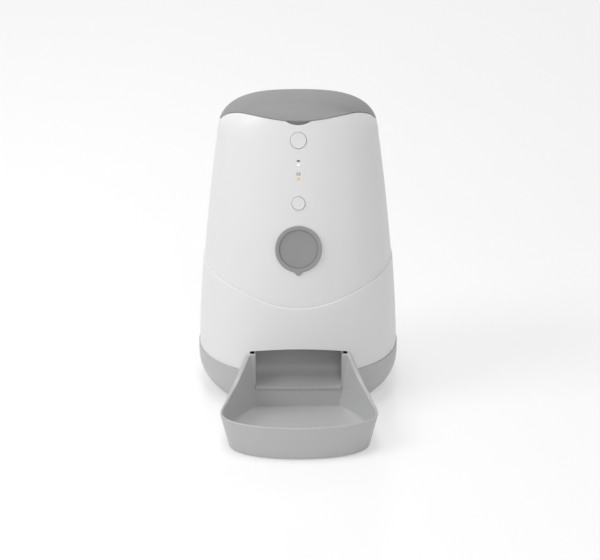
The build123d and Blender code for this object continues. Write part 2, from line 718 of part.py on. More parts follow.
def drive_gear():
    body = Pos(0, rotor_y, gear_z) * Rot(0, 0, 90) * gear(drive_teeth, gear_width, shaft_radius)
    hub = rod(0, rotor_y, gear_z + gear_width - eps, gear_z + gear_width + 5, 8) - rod(
        0, rotor_y, gear_z, gear_z + gear_width + 6, shaft_radius)
    return body + hub


def idler_gear():
    bore = idler_axle_radius + running_clearance
    body = Pos(0, idler_y, gear_z) * Rot(0, 0, idler_turn) * gear(idler_teeth, gear_width, bore)
    for z0, z1 in ((gear_z - 2, gear_z + eps), (gear_z + gear_width - eps, gear_z + gear_width + 2)):
        body += rod(0, idler_y, z0, z1, 5) - rod(0, idler_y, z0 - 1, z1 + 1, bore)
    return body


def idler_axle():
    return rod(0, idler_y, cover_bottom + 0.5, deck_top - 0.5, idler_axle_radius)


def motor_pinion():
    # its tooth enters the gap that the idler turns towards it
    share = (90 - idler_turn) / (360 / idler_teeth) % 1
    turn = 270 + (share - 0.5) * 360 / pinion_teeth
    body = Pos(0, pinion_y, gear_z - 0.5) * Rot(0, 0, turn) * gear(pinion_teeth, gear_width + 1, motor_shaft_radius)
    return body + rod(0, pinion_y, gear_z - 0.5, deck_top + 4, motor_shaft_radius)


def motor():
    can = rod(0, pinion_y, deck_top, deck_top + motor_length, motor_radius)
    can = chamfer(can.edges().filter_by(GeomType.CIRCLE).sort_by(Axis.Z)[-1], 1.2)
    return can - rod(0, pinion_y, deck_top - 1, deck_top + 5, motor_shaft_radius + running_clearance)


# ---- controls ----
def button(offset, radius):
    """A round cap with a flange behind the wall and a stem that reaches the switch."""
    cap = Pos(0, offset, -button_depth) * Cylinder(radius, button_depth + 0.35,
                                                   align=(Align.CENTER, Align.CENTER, Align.MIN))
    cap = fillet(cap.edges().filter_by(GeomType.CIRCLE).sort_by(Axis.Z)[-1], 0.5)
    flange = Pos(0, offset, -button_depth) * Cylinder(radius + 1.3, 1.2,
                                                      align=(Align.CENTER, Align.CENTER, Align.MIN))
    stem = Pos(0, offset, -switch_front + button_travel + 0.3) * Cylinder(
        1.8, switch_front - button_depth - button_travel - 0.3 + 0.5, align=(Align.CENTER, Align.CENTER, Align.MIN))
    return on_plane(panel, cap + flange + stem)


switch_front = board_depth - 3.4


def button_board():
    plate = Pos(0, (board_top + board_low) / 2, -board_depth - board_thickness / 2) * Box(
        26, board_top - board_low, board_thickness)
    for x, offset in board_posts:
        plate -= Pos(x, offset, -board_depth) * Cylinder(1.2, 6)
    return on_plane(panel, plate)


def button_switches():
    solids = []
    for offset in (power_button_offset, feed_button_offset):
        base = Pos(0, offset, -board_depth) * Box(6, 6, 2.6, align=(Align.CENTER, Align.CENTER, Align.MIN))
        plunger = Pos(0, offset, -board_depth) * Cylinder(1.7, 3.4, align=(Align.CENTER, Align.CENTER, Align.MIN))
        solids.append(on_plane(panel, base + plunger))
    return Compound(children=solids)


def status_lights():
    return Compound(children=[
        on_plane(panel, Pos(0, offset, -board_depth) * Box(3.2, 3.2, 1.6, align=(Align.CENTER, Align.CENTER, Align.MIN)))
        for offset in (white_window_offset, amber_window_offset)])


def light_window(offset):
    length = board_depth - 1.6 + 0.15
    pipe = Pos(0, offset, -board_depth + 1.6) * Cylinder(window_radius, length,
                                                         align=(Align.CENTER, Align.CENTER, Align.MIN))
    return on_plane(panel, pipe)


def board_screws():
    solids = []
    for x, offset in board_posts:
        shank = Pos(x, offset, -board_depth - board_thickness) * Cylinder(
            0.9, board_thickness + 4, align=(Align.CENTER, Align.CENTER, Align.MIN))
        head = Pos(x, offset, -board_depth - board_thickness) * Cylinder(
            2.1, 1.4, align=(Align.CENTER, Align.CENTER, Align.MAX))
        solids.append(on_plane(panel, shank + head))
    return Compound(children=solids)


def badge_bezel():
    low = (Align.CENTER, Align.CENTER, Align.MIN)
    ring = Pos(0, 0, -badge_seat) * Cylinder(badge_radius, badge_seat + 0.7, align=low)
    ring += Pos(0, 0, -badge_seat) * extrude(badge_tip(0), amount=badge_seat + 0.5)
    ring = ring + Pos(0, 0, -badge_seat - 4) * Cylinder(badge_disc_radius + 1.4, 4.5, align=low)
    ring -= Pos(0, 0, -badge_seat + 0.4) * Cylinder(badge_disc_radius, 20, align=low)
    ring -= Cylinder(badge_disc_radius - 3, 30)
    return on_plane(badge_plane, ring)


def badge_disc():
    disc_solid = Pos(0, 0, -badge_seat + 0.4) * Cylinder(badge_disc_radius, 1.6,
                                                         align=(Align.CENTER, Align.CENTER, Align.MIN))
    return on_plane(badge_plane, disc_solid)


# ---- chute ----
def chute():
    top, chute_top_seam = deck_height, opening_end_height - 5
    points = [(chute_lip_y - 6, chute_lip_z - 1.5), (chute_lip_y, chute_lip_z), (chute_bend_y, chute_bend_z),
              (rotor_y - outlet_inner + 1, top + 6), (rotor_y - outlet_outer - 5, top + 6),
              (rotor_y - outlet_outer - 5, top - 4), (chute_lip_y, opening_top_height + 2),
              (chute_lip_y - 6, opening_top_height + 2)]
    profile = make_face(Polyline(*points, close=True))
    bend = profile.vertices().sort_by_distance(Vertex(chute_bend_y, chute_bend_z, 0))[0]
    profile = fillet(bend, chute_bend_radius)
    outer_profile = offset(profile, chute_wall, kind=Kind.INTERSECTION)
    upright = Plane(origin=(0, 0, 0), x_dir=(0, 1, 0), z_dir=(1, 0, 0))
    inner = extrude(upright * profile, amount=chute_half_width, both=True)
    outer = extrude(upright * outer_profile, amount=chute_half_width + chute_wall, both=True)
    duct = outer - inner
    front = dock_y - tray_gap
    duct &= block(-far, far, -far, far, 0, chute_top_seam) + housing(
        (chute_top_seam, (chute_top_seam + top) / 2, top + 5), shell_wall + 0.3)
    duct -= block(-far, far, -far, front, opening_end_height - 12, far)
    duct -= extrude(upright * profile, amount=far, both=True) & block(-far, far, -far, front, 0, far)
    for side in (-1, 1):
        x0, x1 = sorted((side * (chute_half_width - eps), side * far))
        duct -= block(x0, x1, -far, front, 0, far)
    duct -= block(-far, far, -far, chute_lip_y, 0, far)
    duct -= block(-far, far, -far, far, top, far)
    return duct


def food_sensors():
    y = chute_bend_y + 4
    return Compound(children=[block(*sorted((side * (chute_half_width + chute_wall),
                                             side * (chute_half_width + chute_wall + 5))), y - 4, y + 4, 52, 60)
                              for side in (-1, 1)])


# ---- base ----
def base_oval(z, inset=0.0):
    curl = base_curl * max(0.0, 1 - z / (base_height - 6)) ** base_curl_power
    return oval(base_half_width - curl - inset, body_front + base_lip - curl - inset,
                body_rear + base_lip - curl - inset, z)


bay_rear = bay_front + cell_length + 2 * bay_gap + 3
bay_half = 1.5 * cell_pitch + 2
door_half = bay_half - 2
door_front, door_rear = bay_front - 2, bay_rear - 2
door_z = foot_height + 0.1
door_thickness = 2.0
foot_places = [(sx * x, y) for sx in (-1, 1) for x, y in ((50, -68), (57, 58))]
foot_radius = 5.0
cell_z = foot_height + base_floor + cell_radius + 0.4
tray_back = dock_y - tray_gap


def base_housing():
    levels = (foot_height, 8, 16, 27, 38, base_height)
    outer = loft([base_oval(z) for z in levels])
    outer &= block(-far, far, dock_y, far, 0, far)
    inner_levels = (foot_height + base_floor, 16, 27, 38, base_height + eps)
    inner = loft([base_oval(z, shell_wall) for z in inner_levels]) & block(-far, far, dock_y + dock_wall, far, 0, far)
    base = outer - inner
    # the dock wall stops under the chute
    base -= block(-chute_half_width - 3, chute_half_width + 3, dock_y - 5, dock_y + dock_wall + 1,
                  chute_lip_z - chute_wall - 0.8, base_height + 1)
    for side in (-1, 1):
        base -= block(*sorted((side * 24.0, side * 37.0)), dock_y - 5, dock_y + dock_wall + 6, 12.6, 17.4)
    # battery bay with its roof
    bay = block(-bay_half - 2, bay_half + 2, bay_front - 2, bay_rear + 2, foot_height, cell_z + cell_radius + 3)
    bay -= block(-bay_half, bay_half, bay_front, bay_rear, foot_height - 1, cell_z + cell_radius + 1)
    base -= block(-bay_half, bay_half, bay_front, bay_rear, foot_height - 1, foot_height + base_floor + 1)
    base += bay
    # ledge and track of the battery door
    ledge = block(-bay_half - 1, bay_half + 1, bay_front - 1, bay_rear + 1, door_z + door_thickness + 0.1,
                  foot_height + base_floor)
    base += ledge - block(-door_half + 5, door_half - 5, bay_front + 4, bay_rear - 6, 0, 20)
    base -= block(-door_half - 0.4, door_half + 0.4, door_front - 0.4, door_rear + door_travel + 0.8, 0,
                  door_z + door_thickness + 0.1)
    # screw posts
    for x, y in low_posts:
        base += rod(x, y, foot_height + 1, base_height, post_radius + 1.2)
        base -= rod(x, y, 0, base_height - 8, 3.4)
        base -= rod(x, y, 0, base_height + 1, 1.6)
    for x, y in foot_places:
        base -= rod(x, y, 0, foot_height + 0.8, foot_radius)
    return base


def rubber_feet():
    return Compound(children=[rod(x, y, 0, foot_height + 0.8, foot_radius) for x, y in foot_places])


def battery_door():
    door = block(-door_half, door_half, door_front, door_rear, door_z, door_z + door_thickness)
    for i in range(5):
        door -= Pos(0, door_rear - 12 + 2.4 * i, door_z) * Box(30, 1.1, 1.2)
    return door


def battery_cells():
    solids = []
    for i in (-1, 0, 1):
        y0 = bay_front + bay_gap + 3
        can = Pos(i * cell_pitch, y0 + cell_length / 2, cell_z) * Rot(90, 0, 0) * Cylinder(cell_radius, cell_length)
        solids.append(chamfer(can.edges().filter_by(GeomType.CIRCLE), 1.0))
    return Compound(children=solids)


def battery_contacts():
    solids = []
    for i in (-1, 0, 1):
        x = i * cell_pitch
        solids.append(block(x - 8, x + 8, bay_front, bay_front + 0.5, cell_z - 8, cell_z + 8) + Pos(
            x, bay_front + 0.5, cell_z) * Rot(-90, 0, 0) * Cone(7, 4, 3 + bay_gap - 0.5,
                                                              align=(Align.CENTER, Align.CENTER, Align.MIN)))
        solids.append(block(x - 8, x + 8, bay_rear - bay_gap, bay_rear, cell_z - 8, cell_z + 8))
    return Compound(children=solids)


# ---- tray ----
def tray_plan(z, inset=0.0, pinch=0.0):
    """The tray's outline at height z: straight rear edge, flared sides, one wide curve in front."""
    lean = tray_lean * (1 - z / tray_rim)
    rear_half = tray_ear_half_width - 0.32 * lean - inset - 0.5 * pinch
    wide = tray_half_width - lean - inset - pinch
    front = tray_front + 0.3 * lean + inset + 0.8 * pinch
    rear_y, wide_y = tray_back - inset, tray_wide_y
    run, depth = rear_y - wide_y, wide_y - front
    def both_sides(*points):
        return [Bezier(*[(sign * x, y, z) for x, y in points]) for sign in (1, -1)]
    right_side, left_side = both_sides(
        (rear_half, rear_y), (rear_half + 0.52 * (wide - rear_half), rear_y - 0.24 * run),
        (wide, wide_y + 0.3 * run), (wide, wide_y))
    right_front, left_front = both_sides((wide, wide_y), (wide, wide_y - 0.6 * depth), (0.6 * wide, front), (0, front))
    back = Line((-rear_half, rear_y, z), (rear_half, rear_y, z))
    return make_face(Wire([back, right_side, right_front, left_front, left_side]))


def rim_cut():
    """Everything above the rim: level round the front, then a swoop up to the ears."""
    y0 = tray_wide_y
    rim = Spline((0, y0 + 18, tray_rim), (0, y0 + 38, tray_rim + 1.8), (0, y0 + 58, tray_rim + 7.5),
                 (0, tray_back - 11, tray_ear_height - 13), (0, tray_back - 3, tray_ear_height - 1.5),
                 (0, tray_back + 3, tray_ear_height), tangents=[(0, 1, 0), (0, 1, 0)])
    level = Line((0, tray_front - 20, tray_rim), (0, y0 + 18, tray_rim))
    top = Polyline((0, tray_back + 3, tray_ear_height), (0, tray_back + 3, far), (0, tray_front - 20, far),
                   (0, tray_front - 20, tray_rim))
    return extrude(make_face(Wire([level, rim.edge(), *top.edges()])), amount=far, dir=(1, 0, 0), both=True)


def food_tray():
    outer = loft([tray_plan(tray_skirt), tray_plan(tray_rim), tray_plan(tray_ear_height + 3)])
    cove = tray_floor + 11
    lower = loft([tray_plan(tray_floor, tray_wall, 12), tray_plan(cove, tray_wall, 0.5)], ruled=True)
    upper = loft([tray_plan(cove, tray_wall, 0.5), tray_plan(tray_rim, tray_wall),
                  tray_plan(tray_ear_height + 4, tray_wall)])
    tray = outer - lower - upper - rim_cut()
    # hollow underside, leaving a skirt
    tray -= loft([tray_plan(tray_skirt - 1, tray_wall + 0.6), tray_plan(tray_floor - tray_wall, tray_wall + 0.6)])
    # gap between the ears, over the riser
    tray -= block(-chute_half_width - 0.8, chute_half_width + 0.8, tray_back - tray_wall - 1, tray_back + 1,
                  chute_lip_z - chute_wall - 0.4, far)
    for side in (-1, 1):
        x0, x1 = sorted((side * 25.0, side * 36.0))
        hook = block(x0, x1, tray_back - 1, dock_y + dock_wall + tray_hook - 2.5, 13, 15)
        hook += block(x0, x1, dock_y + dock_wall + 0.6, dock_y + dock_wall + tray_hook - 2.5, 13, 17)
        tray += hook
    return tray


# ---- electronics ----
def main_board():
    board = block(-40, 40, main_board_y - 11, main_board_y + 11, main_board_z, main_board_z + 1.6)
    for x, y in main_board_posts:
        board -= rod(x, y, main_board_z - 1, main_board_z + 3, 1.2)
    for x, w, h in ((-20, 14, 2.4), (2, 10, 1.8), (20, 16, 3.2)):
        board += Pos(x, main_board_y, main_board_z + 1.6 - eps) * Box(
            w, 11, h, align=(Align.CENTER, Align.CENTER, Align.MIN))
    return board


def power_socket():
    face = reach(socket_z)[2]
    barrel = Pos(0, face - 7, socket_z) * Rot(90, 0, 0) * Cylinder(socket_radius, 13)
    flange = Pos(0, face - shell_wall - 1.5, socket_z) * Box(14, 2, 14)
    bore = Pos(0, face - 3, socket_z) * Rot(90, 0, 0) * Cylinder(3.4, 12)
    pin = Pos(0, face - 6.5, socket_z) * Rot(90, 0, 0) * Cylinder(1.0, 9)
    return barrel + flange - bore + pin


def base_screws():
    return Compound(children=[screw(x, y, base_height - 8, 24, True) for x, y in low_posts])


def deck_screws():
    return Compound(children=[screw(x, y, deck_top, 14, False) for x, y in low_posts])


def shell_screws():
    return Compound(children=[screw(x, y, deck_height, 16, True) for x, y in high_posts])


def gearbox_screws():
    return Compound(children=[screw(x, y, cover_bottom, gearbox_depth + gearbox_plate + 2, True,
                                    shank_radius=1.2) for x, y in gearbox_ears])


def main_board_screws():
    return Compound(children=[screw(x, y, main_board_z + 1.6, 5, False, head_radius=2.1, shank_radius=0.9, head=1.4)
                              for x, y in main_board_posts])


pieces = {
    "lid_shell": lid_shell, "lid_catch": lid_catch, "lid_liner": lid_liner, "lid_seal": lid_seal,
    "lid_screws": lid_screws, "desiccant_box": desiccant_box, "desiccant_cover": desiccant_cover,
    "lid_hinge_pin": lambda: bar(-hinge_half_span, hinge_half_span, hinge_pin_radius, hinge_y, hinge_z),
    "lid_latch": lid_latch, "latch_spring": latch_spring, "upper_shell": upper_shell, "lower_shell": lower_shell,
    "base_housing": base_housing, "rubber_feet": rubber_feet, "battery_door": battery_door,
    "battery_cells": battery_cells, "battery_contacts": battery_contacts, "food_tray": food_tray, "chute": chute,
    "food_sensors": food_sensors, "food_tank": food_tank, "deck": deck, "rotor_housing": rotor_housing,
    "outlet_guard": outlet_guard, "rotor": rotor, "rotor_knob": rotor_knob, "rotor_shaft": rotor_shaft,
    "rotor_bush": lambda: bush(deck_height, deck_top),
    "gearbox_bush": lambda: bush(cover_bottom, gearbox_bottom),
    "gearbox_housing": gearbox_housing, "gearbox_cover": gearbox_cover, "drive_gear": drive_gear,
    "idler_gear": idler_gear, "idler_axle": idler_axle, "motor_pinion": motor_pinion, "motor": motor,
    "power_button": lambda: button(power_button_offset, power_button_radius),
    "feed_button": lambda: button(feed_button_offset, feed_button_radius),
    "button_board": button_board, "button_switches": button_switches, "status_lights": status_lights,
    "white_window": lambda: light_window(white_window_offset),
    "amber_window": lambda: light_window(amber_window_offset), "board_screws": board_screws,
    "badge_bezel": badge_bezel, "badge_disc": badge_disc, "main_board": main_board,
    "main_board_screws": main_board_screws, "power_socket": power_socket, "base_screws": base_screws,
    "deck_screws": deck_screws, "shell_screws": shell_screws, "gearbox_screws": gearbox_screws,
}

middle_y = (tray_front + body_rear + base_lip) / 2
os.makedirs("parts", exist_ok=True)
for name, make in pieces.items():
    export_step(Pos(0, -middle_y, 0) * make(), f"parts/{name}.step")
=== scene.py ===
import json
import math
import bmesh
import bpy
import numpy as np
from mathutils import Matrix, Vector


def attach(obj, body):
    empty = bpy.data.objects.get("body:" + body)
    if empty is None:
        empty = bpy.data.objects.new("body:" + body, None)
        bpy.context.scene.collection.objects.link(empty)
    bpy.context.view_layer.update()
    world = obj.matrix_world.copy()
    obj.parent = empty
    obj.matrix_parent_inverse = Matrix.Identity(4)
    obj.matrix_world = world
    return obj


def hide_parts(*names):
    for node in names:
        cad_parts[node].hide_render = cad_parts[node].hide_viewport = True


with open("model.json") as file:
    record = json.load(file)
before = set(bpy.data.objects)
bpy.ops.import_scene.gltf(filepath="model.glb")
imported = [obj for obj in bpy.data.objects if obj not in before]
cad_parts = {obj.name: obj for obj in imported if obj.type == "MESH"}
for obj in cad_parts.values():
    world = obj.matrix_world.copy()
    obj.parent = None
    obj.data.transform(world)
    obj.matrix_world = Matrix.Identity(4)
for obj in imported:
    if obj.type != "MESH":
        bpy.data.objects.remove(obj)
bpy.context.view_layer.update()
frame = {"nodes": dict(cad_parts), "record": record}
scene = bpy.context.scene

# ---- Camera ----
# A long lens about two metres in front of the feeder, looking down on it by a fifth of a right angle. Places
# are worked out with y = 0 at the middle of the housing, which stands middle_y metres behind the frame's origin.
middle_y = 0.0581
camera_lens = bpy.data.cameras.new("camera")
camera_lens.lens = 113.68
camera_lens.sensor_width = 36.0
camera = bpy.data.objects.new("camera", camera_lens)
scene.collection.objects.link(camera)
camera.location = (-0.0127, middle_y - 1.8853, 0.77685)
camera_aim = Vector((0.00214, middle_y, 0.10924))
camera.rotation_euler = (camera_aim - camera.location).to_track_quat("-Z", "Y").to_euler()
scene.camera = camera
scene.view_settings.view_transform = "Standard"


# ---- Floor and backdrop ----
# A wide sheet of glossy white studio board under the feeder. It keeps a soft shadow and a faint reflection.
class Flow:
    """A value on its way through a finish, so that shader sums are written as sums."""

    def __init__(self, finish, socket):
        self.finish = finish
        self.socket = socket

    def sum_with(self, how, first, second):
        return self.finish.node("ShaderNodeMath", {"operation": how}, {0: first, 1: second})

    def __add__(self, other):
        return self.sum_with("ADD", self, other)

    def __mul__(self, other):
        return self.sum_with("MULTIPLY", self, other)

    __radd__ = __add__
    __rmul__ = __mul__


class Finish:
    """One surface finish, or the room's light, with the nodes that make it."""

    def __init__(self, name, kind="Material"):
        self.block = (bpy.data.worlds if kind == "World" else bpy.data.materials).new(name)
        self.block.use_nodes = True
        self.kind = kind
        self.tree = self.block.node_tree
        self.tree.nodes.clear()

    def node(self, kind, settings=None, inputs=None, output=0):
        made = self.tree.nodes.new(kind)
        for key, value in (settings or {}).items():
            setattr(made, key, value)
        for key, value in (inputs or {}).items():
            if isinstance(value, Flow):
                self.tree.links.new(value.socket, made.inputs[key])
            else:
                made.inputs[key].default_value = value
        return Flow(self, made.outputs[output])

    def tint(self, first, second, share):
        """A colour between two others."""
        return self.node("ShaderNodeMix", {"data_type": "RGBA"}, {0: share, 6: first, 7: second}, 2)

    def show(self, surface):
        end = self.tree.nodes.new("ShaderNodeOutput" + self.kind)
        self.tree.links.new(surface.socket, end.inputs["Surface"])
        return self.block


def grey(level):
    return (level, level, level, 1.0)


board = Finish("studio_board")
sight = board.node("ShaderNodeLightPath", output="Is Camera Ray")
mirror = board.node("ShaderNodeLightPath", output="Is Glossy Ray")
through = board.node("ShaderNodeLightPath", output="Is Transmission Ray")
board_place = board.node("ShaderNodeTexCoord", output="Object")
board_cloud = board.node("ShaderNodeTexNoise", inputs={"Vector": board_place, "Scale": 3.0, "Detail": 2.0})
lit = board.node("ShaderNodeBsdfPrincipled", inputs={
    "Base Color": board.tint(grey(0.93), grey(0.95), board_cloud), "Roughness": 0.16 + 0.04 * board_cloud,
    "Specular IOR Level": 0.35})
glow = board.node("ShaderNodeEmission", inputs={"Color": grey(1.0), "Strength": 1.18})
floor_material = board.show(board.node("ShaderNodeMixShader", inputs={
    0: 0.35 * (sight + mirror + through), 1: lit, 2: glow}))


sharp_edge = math.radians(32)


def millimetres(name, points, faces, material):
    """A mesh object from points given in millimetres, smooth but for its real edges."""
    mesh = bpy.data.meshes.new(name)
    places = [(0.001 * float(x), 0.001 * float(y) + middle_y, 0.001 * float(z)) for x, y, z in points]
    mesh.from_pydata(places, [], [tuple(f) for f in faces])
    form = bmesh.new()
    form.from_mesh(mesh)
    bmesh.ops.remove_doubles(form, verts=form.verts, dist=1e-6)
    bmesh.ops.recalc_face_normals(form, faces=form.faces)
    form.to_mesh(mesh)
    form.free()
    mesh.shade_smooth()
    mesh.set_sharp_from_angle(angle=sharp_edge)
    made = bpy.data.objects.new(name, mesh)
    scene.collection.objects.link(made)
    if material:
        mesh.materials.append(material)
    return made


board_half = 9000
board_corners = [(sx * board_half, sy * board_half, 0) for sx, sy in ((-1, -1), (1, -1), (1, 1), (-1, 1))]
floor = millimetres("floor", board_corners, [(0, 1, 2, 3)], floor_material)

# Even light from all round. The camera, a reflection and a ray through something clear see plain white there.
room = Finish("room", "World")
sight = room.node("ShaderNodeLightPath", output="Is Camera Ray")
mirror = room.node("ShaderNodeLightPath", output="Is Glossy Ray")
through = room.node("ShaderNodeLightPath", output="Is Transmission Ray")
soft_light = room.node("ShaderNodeBackground", inputs={"Color": grey(1.0), "Strength": 0.51})
white_wall = room.node("ShaderNodeBackground", inputs={"Color": grey(1.0), "Strength": 1.0})
scene.world = room.show(room.node("ShaderNodeMixShader", inputs={
    0: sight + mirror + through, 1: soft_light, 2: white_wall}))


# ---- Lamps ----
# A large soft box high on the left, a weaker one straight above and one high in front, a low fill on the right,
# and a dark card out of sight high on the right. All lamps are aimed at the middle of the housing.
def soft_box(name, place, width, power):
    lamp = bpy.data.lights.new(name, "AREA")
    lamp.shape = "SQUARE"
    lamp.size = width
    lamp.energy = power
    box = bpy.data.objects.new(name, lamp)
    scene.collection.objects.link(box)
    box.location = (place[0], place[1] + middle_y, place[2])
    box.rotation_euler = (Vector((0, middle_y, 0.15)) - box.location).to_track_quat("-Z", "Y").to_euler()


soft_box("key_box", (-2.7, -1.15, 2.5), 1.8, 42.0)
soft_box("top_box", (0.0, 0.1, 2.8), 1.0, 24.0)
soft_box("front_box", (0.3, -2.2, 2.3), 0.8, 14.0)
soft_box("fill_box", (1.9, -1.4, 0.2), 0.9, 3.4)
card_finish = Finish("dark_card")
card_cloud = card_finish.node("ShaderNodeTexNoise", inputs={"Scale": 12.0, "Detail": 2.0})
card_paint = card_finish.show(card_finish.node("ShaderNodeBsdfPrincipled", inputs={
    "Base Color": card_finish.tint(grey(0.03), grey(0.05), card_cloud), "Roughness": 0.8}))
card_corners = [(250, -1500, 1900), (250, 1100, 1900), (1300, 1100, 1300), (1300, -1500, 1300)]
card = millimetres("dark_card", card_corners, [(0, 1, 2, 3)], card_paint)

# ---- White housing: upper shell ----
# The upper of two white ABS mouldings, glossy outside. Its wall leans in towards the top and rolls over under
# the lid; its foot drops inside the apron of the lower shell.
base_top = 45.0
lid_top, lid_edge, lid_side = 314.9, 298.3, 284.8
side_foot, front_foot, rear_foot = 104.1, 107.0, 100.0
side_lean, front_lean, rear_lean = 5.5, 9.45, 7.5
lean_reach, lean_power = 98.0, 1.557
side_shoulder, rear_shoulder = 270.0, 276.0
side_roll, front_roll, rear_roll = 2.6, 2.4, 1.46
tuck, tuck_start, tuck_run = 0.9, 266.0, 16.0
step_depth = 1.1
wall = 2.5
lip_gap, lip_depth = 0.15, 5.0
half_curve = (8 * 2 ** (-1 / 2.2) - 4) / 3
columns = 64


def moulded(name, colour, roughness, mottle=0.03, grain=0.10, grain_scale=1800.0, clarity=None):
    """Moulded plastic: a faint mottle in colour and gloss, and the fine grain of the tool's surface."""
    finish = Finish(name)
    place = finish.node("ShaderNodeTexCoord", output="Object")
    cloud = finish.node("ShaderNodeTexNoise", inputs={"Vector": place, "Scale": 28.0, "Detail": 3.0})
    fine = finish.node("ShaderNodeTexNoise", inputs={"Vector": place, "Scale": grain_scale, "Detail": 2.0})
    darker = tuple(c * (1 - mottle) for c in colour) + (1.0,)
    lighter = tuple(min(1.0, c * (1 + mottle)) for c in colour) + (1.0,)
    skin = finish.node("ShaderNodeBump", inputs={"Strength": grain, "Distance": 0.00008, "Height": fine})
    inputs = {"Base Color": finish.tint(darker, lighter, cloud),
              "Roughness": (roughness - 0.05) + 0.05 * cloud + 0.05 * fine, "Normal": skin}
    inputs.update(clarity or {})
    return finish.show(finish.node("ShaderNodeBsdfPrincipled", inputs=inputs))


white_plastic = moulded("white_plastic", (0.80, 0.80, 0.80), 0.38, mottle=0.008, grain=0.05)


def quarter_points(count):
    """Unit outline of the feeder's plan: one rounded quarter, repeated four ways round."""
    t = np.arange(count) / count
    def curve(t):
        a, b, c, d = (1 - t) ** 3, 3 * (1 - t) ** 2 * t, 3 * (1 - t) * t * t, t ** 3
        return a + b + half_curve * c, half_curve * b + c + d
    x1, y1 = curve(t)
    x2, y2 = curve(1 - t)
    return np.concatenate([x1, -x2, -x1, x2]), np.concatenate([y1, y2, -y1, -y2])


plan_x, plan_y = quarter_points(columns)


def lean(foot, drop, z):
    """Distance of a wall that starts straight and leans in more and more with height."""
    return foot - drop * (np.maximum(0.0, z - base_top) / lean_reach) ** lean_power


def rolled(half, z, start, top, fullness):
    """The same wall above its shoulder, where it rolls over to nothing at the top."""
    share = np.clip((z - start) / (top - start), 0.0, 1.0)
    return half * (1 - share ** fullness) ** (1 / fullness)


def housing_reach(z, inset):
    """Half width, front and rear distance of the housing at height z, inset from the apron's face."""
    top = lid_top - (inset - step_depth)

    def wall_at(foot, drop, shoulder, fullness):
        return rolled(lean(foot, drop, np.minimum(z, shoulder)) - inset, z, shoulder, top, fullness)

    side = wall_at(side_foot, side_lean, side_shoulder, side_roll)
    side = side - tuck * np.clip((z - tuck_start) / tuck_run, 0.0, 1.0) * np.clip(side / 20.0, 0.0, 1.0)
    front = wall_at(front_foot, front_lean, lid_edge, front_roll)
    rear = wall_at(rear_foot, rear_lean, rear_shoulder, rear_roll)
    return side, front, rear


def ring_at(z, inset, x=None, y=None):
    """One ring of points round the housing; z may differ from column to column."""
    x = plan_x if x is None else x
    y = plan_y if y is None else y
    z = np.broadcast_to(np.asarray(z, float), x.shape)
    side, front, rear = housing_reach(z, inset)
    return np.stack([side * x, np.where(y > 0, rear, front) * y, z], axis=1)


def smooth_line(knots, x):
    """A natural cubic curve through the knots, read at each x."""
    kx, kz = (np.array(v, float) for v in zip(*knots))
    h = np.diff(kx)
    n = len(kx)
    m = np.zeros((n, n))
    r = np.zeros(n)
    m[0, 0] = m[-1, -1] = 1.0
    for i in range(1, n - 1):
        m[i, i - 1], m[i, i], m[i, i + 1] = h[i - 1], 2 * (h[i - 1] + h[i]), h[i]
        r[i] = 6 * ((kz[i + 1] - kz[i]) / h[i] - (kz[i] - kz[i - 1]) / h[i - 1])
    c = np.linalg.solve(m, r)
    i = np.clip(np.searchsorted(kx, x) - 1, 0, n - 2)
    a, b = kx[i + 1] - x, x - kx[i]
    return (c[i] * a ** 3 + c[i + 1] * b ** 3) / (6 * h[i]) + (kz[i] / h[i] - c[i] * h[i] / 6) * a + (
        kz[i + 1] / h[i] - c[i + 1] * h[i] / 6) * b


# Height of the seam under the lid and of the step between the two white shells, at distances from the middle.
lid_knots = [(-23, 299.4), (0, 298.3), (23, 299.4), (34, 300.4), (47.5, 301.05), (57, 300.4), (61.1, 299.5),
             (65.3, 298.0), (68.4, 296.6), (71.4, 294.8), (74.5, 292.3), (76.8, 289.9), (78.6, 287.2),
             (80.2, 284.8), (110, 284.8)]
step_knots = [(-52.73, 125.0), (-25.39, 117.15), (0, 114.5), (25.39, 117.15), (52.73, 125.36),
              (81.06, 134.64), (97.66, 141.0), (112.3, 147.6)]


def lid_line(x, y):
    return np.where(y < 0, np.maximum(smooth_line(lid_knots, np.abs(x)), lid_side), lid_side)


def step_line(x, y):
    return smooth_line(step_knots, np.abs(x))


def edge_ring(line, inset, rise):
    """The ring that follows a line round the housing, raised by rise."""
    z = np.full(plan_x.shape, 200.0)
    for _ in range(30):
        at = ring_at(z, inset)
        z = 0.5 * z + 0.5 * (line(at[:, 0], at[:, 1]) + rise)
    return ring_at(z, inset)


def between(low, high, count, inset):
    """Rings between two others on the same face of the wall."""
    return [ring_at(low[:, 2] + (high[:, 2] - low[:, 2]) * k / count, inset) for k in range(1, count)]


def band_faces(rows, count, closed):
    """Faces of a grid of rings; closed joins the last ring to the first."""
    faces = []
    for j in range(rows if closed else rows - 1):
        for i in range(count):
            a, b = (i + 1) % count, (j + 1) % rows
            faces.append((j * count + i, j * count + a, b * count + a, b * count + i))
    return faces


def rounding(line, inset, rise, radius, upward, steps=4):
    """Rings that turn a wall's edge over by a quarter of a circle."""
    way = 1 if upward else -1
    turn = [k * math.pi / 2 / steps for k in range(steps + 1)]
    rings = [edge_ring(line, inset + radius * (1 - math.cos(a)), rise + way * radius * (math.sin(a) - 1))
             for a in turn]
    return rings[::way]


